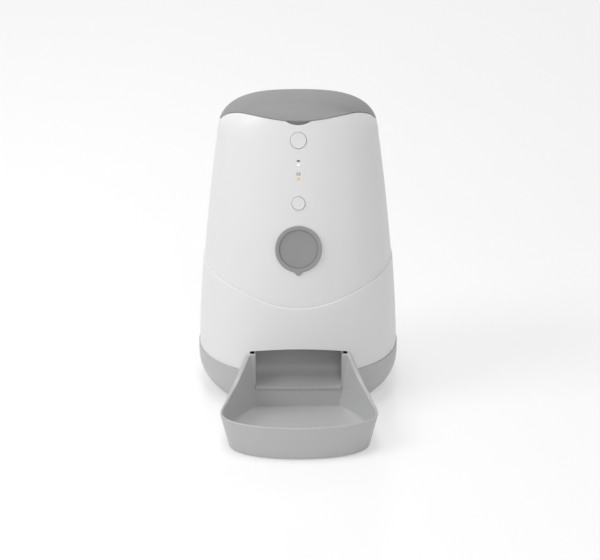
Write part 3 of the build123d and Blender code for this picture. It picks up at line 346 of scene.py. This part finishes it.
seam_gap = 0.06
foot_turn = rounding(step_line, step_depth, seam_gap, 0.35, upward=False)
lid_turn = rounding(lid_line, step_depth, 0.0, 0.6, upward=True)
inner_top = edge_ring(lid_line, step_depth + wall, 0.0)
inner_low = edge_ring(step_line, step_depth + wall, -lip_depth)
rings = [edge_ring(step_line, wall + lip_gap, -lip_depth), edge_ring(step_line, wall + lip_gap, seam_gap),
         *foot_turn, *between(foot_turn[-1], lid_turn[0], 60, step_depth), *lid_turn, inner_top,
         *between(inner_top, inner_low, 16, step_depth + wall), inner_low]


def cut(target, points, faces):
    """Cuts a closed form out of a piece."""
    tool = millimetres("tool", points, faces, None)
    bpy.context.view_layer.objects.active = target
    change = target.modifiers.new("cut", "BOOLEAN")
    change.operation = "DIFFERENCE"
    change.solver = "EXACT"
    change.object = tool
    bpy.ops.object.modifier_apply(modifier="cut")
    bpy.data.objects.remove(tool)
    target.data.set_sharp_from_angle(angle=sharp_edge)


def front_place(height):
    """Middle, upward and outward directions of the housing's front centre line at a height."""
    above = housing_reach(np.array(height + 1.0), step_depth)[1]
    below = housing_reach(np.array(height - 1.0), step_depth)[1]
    tilt = math.atan2(float(below - above), 2.0)
    middle = np.array([0.0, -float(housing_reach(np.array(height), step_depth)[1]), height])
    up = np.array([0.0, math.sin(tilt), math.cos(tilt)])
    out = np.array([0.0, -math.cos(tilt), math.sin(tilt)])
    return middle, up, out


def turned(place, centre, profile, segments=96, radius_of=None):
    """A round form on the housing's front: profile holds (radius, height above the face)."""
    middle, up, out = place
    points = []
    for radius, proud in profile:
        for i in range(segments):
            a = 2 * math.pi * i / segments
            r = radius_of(radius, a) if radius_of else radius
            points.append(middle + np.array([1.0, 0, 0]) * (centre[0] + r * math.sin(a)) + up * (
                centre[1] + r * math.cos(a)) + out * proud)
    faces = band_faces(len(profile), segments, False)
    faces.append(tuple(range(segments)))
    faces.append(tuple(range((len(profile) - 1) * segments, len(profile) * segments)))
    return points, faces


def together(*forms):
    points, faces = [], []
    for some, theirs in forms:
        faces += [tuple(i + len(points) for i in f) for f in theirs]
        points += [tuple(p) for p in some]
    return points, faces


def slab(x0, x1, y0, y1, z0, z1):
    points = [(x, y, z) for z in (z0, z1) for x, y in ((x0, y0), (x1, y0), (x1, y1), (x0, y1))]
    return points, [(0, 1, 2, 3), (4, 5, 6, 7), (0, 1, 5, 4), (1, 2, 6, 5), (2, 3, 7, 6), (3, 0, 4, 7)]


def rod(start, end, radius, segments=40):
    """A round bar between two points, its ends closed."""
    start, end = np.array(start, float), np.array(end, float)
    along = (end - start) / np.linalg.norm(end - start)
    side = np.cross(along, (0, 0, 1) if abs(along[2]) < 0.9 else (1, 0, 0))
    side /= np.linalg.norm(side)
    other = np.cross(along, side)
    turn = [2 * math.pi * i / segments for i in range(segments)]
    points = [p + radius * (math.cos(a) * side + math.sin(a) * other) for p in (start, end) for a in turn]
    faces = band_faces(2, segments, False) + [tuple(range(segments)), tuple(range(segments, 2 * segments))]
    return points, faces


# The control strip and the badge each have a middle on the housing's front. Their parts are placed from it.
panel_height, badge_height = 250.0, 174.0
panel = front_place(panel_height)
badge_place = front_place(badge_height)
power_place, power_radius = (0.0, 31.2), 8.0
feed_place, feed_radius = (0.0, -31.4), 6.6
button_gap, soft_edge = 0.38, 0.45
window_places, window_radius = ((0.0, 6.9), (0.0, -7.0)), 1.5
badge_radius, disc_radius, badge_gap = 23.4, 19.5, 0.12
tip_half_angle, tip_flat_angle, tip_rise = 0.235, 0.07, 2.9


def tip_radius(radius, angle):
    """The badge's ring runs out into a small point at the bottom, with hollow sides."""
    off = abs(angle % (2 * math.pi) - math.pi)
    if off >= tip_half_angle or radius < disc_radius + 2.0:
        return radius
    share = max(0.0, (off - tip_flat_angle) / (tip_half_angle - tip_flat_angle))
    return radius + tip_rise * (1 - min(1.0, share)) ** 1.7


upper = millimetres("upper_housing", np.concatenate(rings), band_faces(len(rings), len(plan_x), True),
                    white_plastic)
holes = []
for place, radius in ((power_place, power_radius), (feed_place, feed_radius)):
    edge = radius + button_gap
    holes.append(turned(panel, place, [(edge, -9), (edge, -soft_edge), (edge + 0.12, -0.17),
                                       (edge + soft_edge, 0.02), (edge + soft_edge, 3)]))
for place in window_places:
    holes.append(turned(panel, place, [(window_radius, -9), (window_radius, 3)], 40))
cut(upper, *together(*holes))
seat_profile = [(badge_radius + badge_gap, -1.9), (badge_radius + badge_gap, -0.3),
                (badge_radius + soft_edge, 0.05), (badge_radius + soft_edge, 4)]
badge_seat = turned(badge_place, (0, 0), seat_profile, 160, tip_radius)
cut(upper, *badge_seat)
notch_half, notch_depth = 12.4, 3.4
notch_radius = (notch_half ** 2 + notch_depth ** 2) / (2 * notch_depth)
notch_z = lid_edge - notch_depth + notch_radius
cut(upper, *rod((0, -80, notch_z), (0, -55, notch_z), notch_radius, 360))
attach(upper, "housing")
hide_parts("upper_shell")

# The posts that stand on the deck, the posts of the control board, the cradle that guides the latch and the
# outer knuckles of the lid's hinge are moulded with the same shell.
hinge_y, hinge_z, hinge_radius = 67.271, 283.8, 4.0
knuckle_half, hinge_half, knuckle_gap = 12.0, 24.0, 0.4
screw_post = 4.5
cradle_low, cradle_rear = 289.1, -49.6
posts = [rod((sx * 59.96, y, 92.5), (sx * 59.96, y, 106.0), screw_post)
         for sx in (-1, 1) for y in (-75.97, 70.0)]
for sx in (-1, 1):
    for offset in (-39.9, 22.2):
        middle, up, out = panel
        foot = middle + np.array([sx * 9.5, 0, 0]) + up * offset
        posts.append(rod(foot - out * 12.4, foot - out * 1.0, 2.4, 24))
    posts.append(rod((sx * (knuckle_half + knuckle_gap), hinge_y, hinge_z), (sx * hinge_half, hinge_y, hinge_z),
                     hinge_radius))
    posts.append(slab(*sorted((sx * 9.4, sx * 11.4)), -62.4, cradle_rear, cradle_low, 294.8))
posts.append(slab(-11.4, 11.4, -62.4, cradle_rear, cradle_low, cradle_low + 1.8))
posts.append(slab(-11.4, 11.4, cradle_rear - 1.5, cradle_rear, cradle_low, 294.8))
fittings = millimetres("upper_housing_fittings", *together(*posts), white_plastic)
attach(fittings, "housing")
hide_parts("upper_shell")

# ---- White housing: apron ----
# The lower white moulding stands a millimetre proud of the upper one. Its top edge waves from side to side, and
# an arched opening in front lets the food out.
apron_turn = rounding(step_line, 0.0, 0.0, 1.0, upward=True)
apron_in = edge_ring(step_line, wall, 0.0)
foot_rings = [ring_at(base_top, 0.4), ring_at(base_top + 0.12, 0.12), ring_at(base_top + 0.4, 0.0)]
inner_foot = ring_at(base_top, wall)
rings = [*foot_rings, *between(foot_rings[-1], apron_turn[0], 30, 0.0), *apron_turn, apron_in,
         *between(apron_in, inner_foot, 12, wall), inner_foot]
apron = millimetres("apron", np.concatenate(rings), band_faces(len(rings), len(plan_x), True), white_plastic)
mouth_half, mouth_top, mouth_rise = 49.4, 72.4, 6.0
arch_x = np.linspace(mouth_half, -mouth_half, 41)
arch_radius = (mouth_half ** 2 + mouth_rise ** 2) / (2 * mouth_rise)
arch = [(x, mouth_top - arch_radius + math.sqrt(arch_radius ** 2 - x * x)) for x in arch_x]
arch += [(-mouth_half, base_top - 5), (mouth_half, base_top - 5)]
mouth_points = [(x, y, z) for y in (-125.0, -60.0) for x, z in arch]
count = len(arch)
cut(apron, mouth_points, band_faces(2, count, False) + [tuple(range(count)), tuple(range(count, 2 * count))])
cut(apron, *rod((0, 80, 62.0), (0, 110, 62.0), 5.5))
low_posts = [rod((sx * 65.2, y, base_top), (sx * 65.2, y, 90.0), screw_post)
             for sx in (-1, 1) for y in (-53.5, 46.0)]
apron_posts = millimetres("apron_posts", *together(*low_posts), white_plastic)
for piece in (apron, apron_posts):
    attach(piece, "housing")
    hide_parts("lower_shell")

# ---- Lid ----
# A grey ABS moulding hinged at the rear. A shallow cove runs across its front from corner to corner and meets
# the crown in a soft crease; its front edge waves like the housing's.
# The lid's grey is the same plastic as the tray's, painted darker: painted shade that takes off the light of the
# lamp above the crown.
grey_darkened_for_light = moulded("grey_darkened_for_light", (0.285, 0.286, 0.29), 0.56, mottle=0.012, grain=0.07)
lid_gap = 0.6
lid_wall = 1.5
lid_lip = 0.45
lid_edge_round = 0.13
crown_peak = 314.7
cove_end, cove_half = -34.0, 76.0
brow_middle, brow_bend = -40.5, 7.5


def crown_profile(i, samples=260):
    """The crown's outline over one column, from the lid's edge to the top, before the cove is taken off."""
    low = float(lid_start[i])
    q = np.linspace(0, 1, samples)
    z = low + (crown_peak - low) * np.sin(q * math.pi / 2) ** 1.15
    side, front, rear = housing_reach(z, step_depth)
    rise = np.stack([side * plan_x[i], np.where(plan_y[i] > 0, rear, front) * plan_y[i], z], axis=1)
    return np.concatenate([rise, [(0.0, 0.0, crown_peak)]])


lid_foot = edge_ring(lid_line, step_depth, lid_gap)
lid_start = lid_foot[:, 2]
crown_columns = [crown_profile(i) for i in range(len(plan_x))]
in_front = sorted(tuple(point) for point in lid_foot if point[1] < -0.5)
front_x, front_y, front_z = (np.array(v) for v in zip(*in_front))


def brow(x):
    """How far back the cove reaches at x: the line where it meets the crown."""
    return brow_middle + brow_bend * np.clip(np.abs(x) / cove_half, 0, 1) ** 3


def run_back(points):
    """Share of the way from the lid's front edge to the brow."""
    edge_y = np.interp(points[:, 0], front_x, front_y)
    return (points[:, 1] - edge_y) / np.maximum(brow(points[:, 0]) - edge_y, 0.5)


brow_points = []
for column in crown_columns:
    if column[0, 1] < cove_end:
        share = run_back(column)
        k = int(np.argmax(share >= 1.0))
        brow_points.append((column[k, 0], column[k, 2]))
brow_points.sort()
brow_x, brow_z = (np.array(v) for v in zip(*brow_points))


def cove(points):
    """Takes the cove off a column of the crown, with a soft turn where the two meet."""
    if points[0, 1] >= cove_end:
        return points
    x = points[:, 0]
    share = np.maximum(run_back(points), 0.0)
    edge_z = np.interp(x, front_x, front_z)
    rise = np.maximum(np.interp(x, brow_x, brow_z) - edge_z, 0.3)
    floor_z = edge_z + rise * (0.20 * share + 0.80 * share ** 2.4)
    fade = np.clip((cove_half - np.abs(points[0, 0])) / 30.0, 0, 1)
    soft = np.minimum(4.0 * fade, 0.45 * rise) * np.clip(share / 0.6, 0, 1) ** 1.5 + 0.001
    gap = points[:, 2] - floor_z
    shaped = points.copy()
    shaped[:, 2] = floor_z + 0.5 * (gap - np.sqrt(gap * gap + soft * soft))
    shaped[0] = points[0]
    return shaped


def even(points, count):
    """The same line with its points spaced evenly."""
    run = np.concatenate([[0], np.cumsum(np.linalg.norm(np.diff(points, axis=0), axis=1))])
    at = np.linspace(0, run[-1], count)
    return np.stack([np.interp(at, run, points[:, k]) for k in range(3)], axis=1)


lid_rows = 64
outer = np.stack([even(cove(column), lid_rows) for column in crown_columns], axis=1)
across = np.roll(outer, -1, axis=1) - np.roll(outer, 1, axis=1)
along = np.gradient(outer, axis=0)
facing = np.cross(across, along)
facing /= np.maximum(np.linalg.norm(facing, axis=2, keepdims=True), 1e-9)
facing[-1] = (0, 0, 1)
under = outer - lid_wall * facing
under[0, :, 2] = outer[0, :, 2]
level_out = facing[0] * (1, 1, 0)
edge_in = outer[0] - lid_lip * level_out
edge_mid = outer[0] - lid_edge_round * level_out
edge_mid[:, 2] += lid_edge_round
outer[0, :, 2] += lid_lip
rings = [*outer, *under[::-1], edge_in, edge_mid]
lid = millimetres("lid_cover", np.concatenate(rings), band_faces(len(rings), len(plan_x), True), grey_darkened_for_light)
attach(lid, "lid")
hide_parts("lid_shell")

# The lid's own knuckle and its arm at the rear, and its screw bosses.
arm_top = 292.8
arm_rear = float(housing_reach(np.array(arm_top), step_depth)[2])
arm = [(hinge_y - 3.0, hinge_z), (hinge_y + 3.4, hinge_z + 2.1),
       (arm_rear - 0.3, arm_top), (arm_rear - 3.0, arm_top)]
arm_points = [(x, y, z) for x in (-knuckle_half, knuckle_half) for y, z in arm]
knuckle = [rod((-knuckle_half, hinge_y, hinge_z), (knuckle_half, hinge_y, hinge_z), hinge_radius),
           (arm_points, band_faces(2, 4, False) + [(0, 1, 2, 3), (4, 5, 6, 7)])]
for x, y in ((-36, -14), (-36, 14), (36, -14), (36, 14)):
    knuckle.append(rod((x, y, 284.7), (x, y, 303.5), 3.6))
lid_fittings = millimetres("lid_fittings", *together(*knuckle), grey_darkened_for_light)
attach(lid_fittings, "lid")
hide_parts("lid_shell")

# ---- Badge ----
# A round grey boss let into the front: a ring that stands proud, with a small point at its foot, round a bare
# disc that sits a millimetre deeper. Both are matt ABS.
badge_plastic = moulded("badge_plastic", (0.31, 0.31, 0.313), 0.5, mottle=0.015, grain=0.12)
ring_profile = [(disc_radius + 1.2, -1.8), (badge_radius - 0.1, -1.8), (badge_radius, -1.7),
                (badge_radius, 0.62), (badge_radius - 0.08, 0.84), (badge_radius - 0.28, 0.97),
                (badge_radius - 0.55, 1.0),
                (disc_radius + 0.75, 1.0), (disc_radius + 0.4, 0.94), (disc_radius + 0.16, 0.74),
                (disc_radius + 0.05, 0.45), (disc_radius, -0.9), (disc_radius + 1.2, -1.0)]
ring_points = turned(badge_place, (0, 0), ring_profile, 200, tip_radius)[0]
badge_ring = millimetres("badge_ring", ring_points, band_faces(len(ring_profile), 200, True), badge_plastic)
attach(badge_ring, "housing")
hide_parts("badge_bezel")
disc_plastic = moulded("badge_disc_plastic", (0.30, 0.30, 0.303), 0.46, mottle=0.015, grain=0.12)
disc_profile = [(disc_radius - 0.02, -2.0), (disc_radius - 0.02, -0.55), (disc_radius - 0.3, -0.42)]
disc_profile += [(disc_radius * share, -0.42 + 0.5 * (share * share - 1) * 0.6)
                 for share in (0.9, 0.75, 0.6, 0.45, 0.3, 0.15, 0.04)]
badge_face = millimetres("badge_face", *turned(badge_place, (0, 0), disc_profile, 120), disc_plastic)
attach(badge_face, "housing")
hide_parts("badge_disc")

# ---- Buttons and lights ----
# Two white caps in the control strip, each with a softened rim and a very shallow dish, and two clear windows.
stem_radius, stem_end, cap_depth = 1.8, -7.7, 5.7
button_plastic = moulded("button_plastic", (0.80, 0.80, 0.80), 0.34, mottle=0.008, grain=0.04)
for name, node, place, radius in (("power_cap", "power_button", power_place, power_radius),
                                  ("feed_cap", "feed_button", feed_place, feed_radius)):
    flange = radius + 1.3
    profile = [(stem_radius, stem_end), (stem_radius, -cap_depth), (flange, -cap_depth), (flange, -4.5),
               (radius, -4.5), (radius, -0.25), (radius - 0.07, 0.02), (radius - 0.25, 0.2), (radius - 0.5, 0.27)]
    profile += [(radius * share, 0.27 - 0.22 * (1 - share * share)) for share in (0.86, 0.7, 0.5, 0.3, 0.1)]
    cap = millimetres(name, *turned(panel, place, profile, 120), button_plastic)
    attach(cap, node)
    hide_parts(node)


def lens(name, colour, strength):
    """Clear plastic light window, lit from behind."""
    finish = Finish(name)
    place = finish.node("ShaderNodeTexCoord", output="Object")
    cloud = finish.node("ShaderNodeTexNoise", inputs={"Vector": place, "Scale": 900.0, "Detail": 2.0})
    dim = tuple(0.85 * c for c in colour) + (1.0,)
    tone = finish.tint(dim, colour + (1.0,), cloud)
    return finish.show(finish.node("ShaderNodeBsdfPrincipled", inputs={
        "Base Color": tone, "Roughness": 0.2 + 0.05 * cloud,
        "Emission Color": tone, "Emission Strength": strength}))


white_lens = lens("white_lens", (0.97, 0.97, 0.99), 0.25)
amber_lens = lens("amber_lens", (0.86, 0.47, 0.13), 0.3)
for name, node, place, finish, slot in (
        ("white_light", "white_window", window_places[0], white_lens, "white_lens"),
        ("amber_light", "amber_window", window_places[1], amber_lens, "amber_lens")):
    profile = [(1.42, -10.0), (1.42, -0.1), (1.3, 0.06), (1.0, 0.16), (0.5, 0.22)]
    light = millimetres(name, *turned(panel, place, profile, 40), finish)
    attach(light, "housing")
    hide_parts(node)

# The marks above the two lights are pad-printed in dark grey: a flat oval and a small cell with a pale middle.
ink = moulded("print_ink", (0.09, 0.09, 0.095), 0.55, mottle=0.05, grain=0.1)


def printed(name, shape, centre, thickness=0.05):
    """A thin film of ink on the control strip."""
    middle, up, out = panel
    points = [middle + np.array([1.0, 0, 0]) * (centre[0] + u) + up * (centre[1] + v) + out * t
              for t in (-0.02, thickness) for u, v in shape]
    n = len(shape)
    mark = millimetres(name, points, band_faces(2, n, False) + [tuple(range(n)), tuple(range(n, 2 * n))], ink)
    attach(mark, "housing")


def frame_bar(u0, u1, v0, v1):
    return [(u0, v0), (u1, v0), (u1, v1), (u0, v1)]


oval_mark = [(1.75 * math.cos(a), 0.9 * math.sin(a)) for a in np.linspace(0, 2 * math.pi, 33)[:-1]]
printed("signal_mark", oval_mark, (0, 10.9))
cell_bars = ((-1.75, 1.75, -1.3, -0.75), (-1.75, 1.75, 0.75, 1.3),
             (-1.75, -1.2, -0.75, 0.75), (1.2, 1.75, -0.75, 0.75))
for index, bar in enumerate(cell_bars):
    printed("cell_mark_%d" % (index + 1), frame_bar(*bar), (0, -2.05))

# ---- Tray ----
# One grey ABS moulding: a dished bowl whose rim is level in front and sweeps up to two ears beside the outlet.
# Its floor is flat, its walls lean out, and the corner between them widens forwards from nothing at the rear.
tray_back, tray_front, wide_y = -97.9, -217.3, -178.0
tray_wall, tray_floor, tray_foot = 2.6, 8.0, 1.0
tray_half_width, tray_rear_half, tray_height, tray_lean = 77.8, 51.2, 35.0, 8.8
rim_knots = [(-218.0, 35.0), (-190.0, 35.0), (-168.0, 34.8), (-152.0, 34.9), (-137.0, 38.4), (-122.0, 43.6),
             (-110.0, 51.8), (-103.0, 59.0), (-99.5, 64.0), (-97.9, 65.0)]


def bezier(points, t):
    """A cubic Bezier curve."""
    a, b, c, d = (np.array(p, float) for p in points)
    t = t[:, None]
    return (1 - t) ** 3 * a + 3 * (1 - t) ** 2 * t * b + 3 * (1 - t) * t * t * c + t ** 3 * d


side_count, front_count, back_count = 44, 52, 24
# The same grey plastic as the lid's, painted lighter: painted light that makes up for the shade inside the bowl.
# The other grey shells get it too.
grey_lightened_for_shade = moulded("grey_lightened_for_shade", (0.49, 0.492, 0.495), 0.42, mottle=0.012, grain=0.07)


def tray_ring(z, inset):
    """The tray's outline at a height: rear edge from the middle, right side, front, left side, back again."""
    lean_in = tray_lean * (1 - z / tray_height)
    rear_half = tray_rear_half - 0.32 * lean_in - inset
    if inset > 2.0:
        rear_half = np.interp(z, (8.0, 27.0, 62.0), (41.2, 44.6, 49.0))
    wide = tray_half_width - lean_in - inset
    front = tray_front + 0.3 * lean_in + inset
    rear_y = tray_back - inset
    run, depth = rear_y - wide_y, wide_y - front
    side = bezier([(rear_half, rear_y), (rear_half + 0.52 * (wide - rear_half), rear_y - 0.24 * run),
                   (wide, wide_y + 0.3 * run), (wide, wide_y)], np.linspace(0, 1, side_count + 1))
    nose = bezier([(wide, wide_y), (wide, wide_y - 0.6 * depth), (0.6 * wide, front), (0, front)],
                  np.linspace(0, 1, front_count + 1))
    back = np.stack([np.linspace(0, rear_half, back_count + 1), np.full(back_count + 1, rear_y)], axis=1)
    half = np.concatenate([back[:-1], side[:-1], nose])
    return np.concatenate([half, half[-2:0:-1] * np.array([-1, 1])])


def tray_rings_at(heights, inset):
    """Points of the outline where each column has its own height, read between fixed levels."""
    levels = np.array([0.0, 4, 8, 12, 16, 20, 25, 30, 35, 40, 45, 50, 55, 60, 66])
    stack = np.stack([tray_ring(z, inset) for z in levels])
    heights = np.broadcast_to(np.asarray(heights, float), stack.shape[1:2])
    xy = np.array([[np.interp(height, levels, stack[:, i, k]) for k in range(2)]
                   for i, height in enumerate(heights)])
    return np.concatenate([xy, heights[:, None]], axis=1)


def rim_height_at(y):
    """Height of the rim at a distance from the housing."""
    return np.interp(y, *zip(*fine_rim))


rim_y = np.linspace(rim_knots[0][0], tray_back, 241)
slope = np.gradient([k[1] for k in rim_knots], [k[0] for k in rim_knots])
slope[:3] = 0.0
slope[-1] = 0.0
fine_rim = []
for y in rim_y:
    j = min(len(rim_knots) - 2, max(0, int(np.searchsorted([k[0] for k in rim_knots], y)) - 1))
    (y0, z0), (y1, z1) = rim_knots[j], rim_knots[j + 1]
    h = y1 - y0
    s = (y - y0) / h
    from_first = (1 + 2 * s) * (1 - s) ** 2 * z0 + s * (1 - s) ** 2 * h * slope[j]
    fine_rim.append((y, from_first + s * s * (3 - 2 * s) * z1 + s * s * (s - 1) * h * slope[j + 1]))

rim_z = np.full(len(tray_ring(tray_height, 0.0)), 40.0)
for _ in range(30):
    at = tray_rings_at(rim_z, 0.0)
    rim_z = 0.5 * rim_z + 0.5 * rim_height_at(at[:, 1])
half_wall = tray_wall / 2
rim_turn = []
for k in range(9):
    a = math.pi * k / 8
    rim_turn.append(tray_rings_at(rim_z - half_wall * (1 - math.sin(a)), half_wall * (1 - math.cos(a))))
outer_wall = [tray_rings_at(tray_foot, 1.2), tray_rings_at(tray_foot + 0.35, 0.35), tray_rings_at(2.2, 0.0)]
for k in range(1, 14):
    outer_wall.append(tray_rings_at(2.2 + (rim_z - half_wall - 2.2) * k / 14, 0.0))
base_ring = tray_rings_at(tray_floor, tray_wall)
# The corner between floor and wall is sharp along the back and opens to its full size round the front.
cove_radius, cove_rise = 15.0, 0.62
order = np.arange(len(rim_z))
half_size = (len(rim_z) + 2) // 2
steps_round = np.where(order < half_size, order, len(rim_z) - order)
from_corner = np.clip(steps_round - back_count, 0, None)
cove_size = cove_radius * np.clip(from_corner / 40.0, 0, 1) ** 0.85
cove_size = np.where(steps_round <= back_count, 0.02, np.maximum(cove_size, 0.02))
wall_top = tray_rings_at(tray_floor + cove_rise * cove_size, tray_wall)
inward = np.zeros_like(base_ring)
tangent = np.roll(base_ring, -1, axis=0) - np.roll(base_ring, 1, axis=0)
inward[:, 0], inward[:, 1] = -tangent[:, 1], tangent[:, 0]
inward /= np.maximum(np.linalg.norm(inward, axis=1, keepdims=True), 1e-9)
if np.sum(inward[:, 1] * (base_ring[:, 1] + 150)) > 0:
    inward = -inward
inward[steps_round <= back_count] = (0, -1, 0)
cove_rings = []
for k in range(1, 9):
    a = math.pi / 2 * k / 8
    ring = wall_top + (base_ring - wall_top) * np.array([1, 1, 0]) * (1 - math.cos(a)) * 0.6
    ring = ring + inward * (cove_size * (1 - math.cos(a)))[:, None]
    ring[:, 2] = tray_floor + cove_rise * cove_size * (1 - math.sin(a))
    cove_rings.append(ring)
inner_wall = []
for k in range(1, 12):
    share = k / 12
    heights = rim_z - half_wall + (wall_top[:, 2] - rim_z + half_wall) * share
    inner_wall.append(tray_rings_at(heights, tray_wall))
# The floor and the underside each close along a line down the tray's middle.
last = cove_rings[-1]
spine = np.stack([0 * last[:, 0], np.clip(last[:, 1], -185, -118), np.full(len(last), tray_floor)], axis=1)
floor_rings = [last + (spine - last) * share for share in (0.25, 0.5, 0.75)]
under_side = tray_floor - tray_wall
foot_ring, under_ring = tray_rings_at(tray_foot, 2.9), tray_rings_at(under_side, 2.9)
under_spine = np.stack([0 * last[:, 0], spine[:, 1], np.full(len(last), under_side)], axis=1)
grid = [under_ring + (under_spine - under_ring) * share for share in (1.0, 0.6, 0.3)]
grid += [under_ring, foot_ring, *outer_wall, *rim_turn, *inner_wall, wall_top, *cove_rings, *floor_rings]
grid.append(spine)
tray = millimetres("food_bowl", np.concatenate(grid), band_faces(len(grid), len(rim_z), False), grey_lightened_for_shade)
# The rear wall is cut down between the ears, whose inner edges end in round beads. Two hooks hold the dock.
ear_inner = 44.2
cut(tray, *slab(-ear_inner, ear_inner, -102.0, -96.0, 27.1, 80.0))
bead_x, bead_y = ear_inner + 0.7, -99.2
beads = [rod((sx * bead_x, bead_y, 27.2), (sx * bead_x, bead_y, 63.6), 1.3, 32) for sx in (-1, 1)]
for sx in (-1, 1):
    x0, x1 = sorted((sx * 25.0, sx * 36.0))
    beads.append(slab(x0, x1, -98.9, -92.5, 13.0, 15.0))
    beads.append(slab(x0, x1, -94.4, -92.5, 13.0, 17.0))
tray_beads = millimetres("food_bowl_beads", *together(*beads), grey_lightened_for_shade)
for piece in (tray, tray_beads):
    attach(piece, "tray")
    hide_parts("food_tray")

# ---- Inner parts ----
# What the housing hides keeps its own shape and gets the finish it is made in: moulded plastics, steel, brass,
# rubber, circuit board and the sleeves of the cells.


def metal(name, colour, roughness):
    """Turned or drawn metal with fine lines of the tool in its gloss."""
    finish = Finish(name)
    place = finish.node("ShaderNodeTexCoord", output="Object")
    lines = finish.node("ShaderNodeTexNoise", inputs={"Vector": place, "Scale": 900.0, "Detail": 3.0})
    dim = tuple(0.9 * c for c in colour) + (1.0,)
    skin = finish.node("ShaderNodeBump", inputs={"Strength": 0.1, "Distance": 0.00005, "Height": lines})
    return finish.show(finish.node("ShaderNodeBsdfPrincipled", inputs={
        "Base Color": finish.tint(dim, colour + (1.0,), lines), "Metallic": 1.0,
        "Roughness": roughness + 0.1 * lines, "Normal": skin}))


# The grey shells get the grey that is painted lighter against shade, as the tray does.
finishes = {
    "white_shell": white_plastic, "white_button": button_plastic, "grey_shell": grey_lightened_for_shade,
    "badge_grey": badge_plastic, "badge_face": disc_plastic,
    "white_lens": lens("spare_white_lens", (0.95, 0.95, 0.97), 0.2),
    "amber_lens": lens("spare_amber_lens", (0.9, 0.4, 0.12), 0.2),
    "latch_grey": moulded("latch_plastic", (0.20, 0.20, 0.205), 0.45, mottle=0.03),
    "dark_grey": moulded("dark_plastic", (0.045, 0.045, 0.048), 0.5, mottle=0.04),
    "inner_plastic": moulded("inner_plastic", (0.50, 0.51, 0.52), 0.48, mottle=0.03),
    "tank_plastic": moulded("tank_plastic", (0.66, 0.67, 0.68), 0.36, mottle=0.02),
    "rotor_plastic": moulded("rotor_plastic", (0.42, 0.44, 0.46), 0.5, mottle=0.04),
    "gear_plastic": moulded("gear_plastic", (0.80, 0.79, 0.74), 0.4, mottle=0.02),
    "rubber": moulded("rubber_skin", (0.028, 0.028, 0.028), 0.72, mottle=0.1, grain=0.3),
    "circuit_board": moulded("board_lacquer", (0.02, 0.16, 0.06), 0.34, mottle=0.12, grain=0.2,
                             grain_scale=600.0),
    "cell_sleeve": moulded("cell_sleeve", (0.05, 0.055, 0.07), 0.25, mottle=0.05, grain=0.03),
    "steel": metal("steel_surface", (0.62, 0.62, 0.63), 0.28),
    "brass": metal("brass_surface", (0.72, 0.52, 0.22), 0.3),
    "motor_can": metal("motor_can_surface", (0.52, 0.52, 0.52), 0.33),
}
for subpart in frame["record"]["subparts"]:
    held = frame["nodes"][subpart["node"]].data.materials
    held.clear()
    held.append(finishes[subpart["material_slot"]])
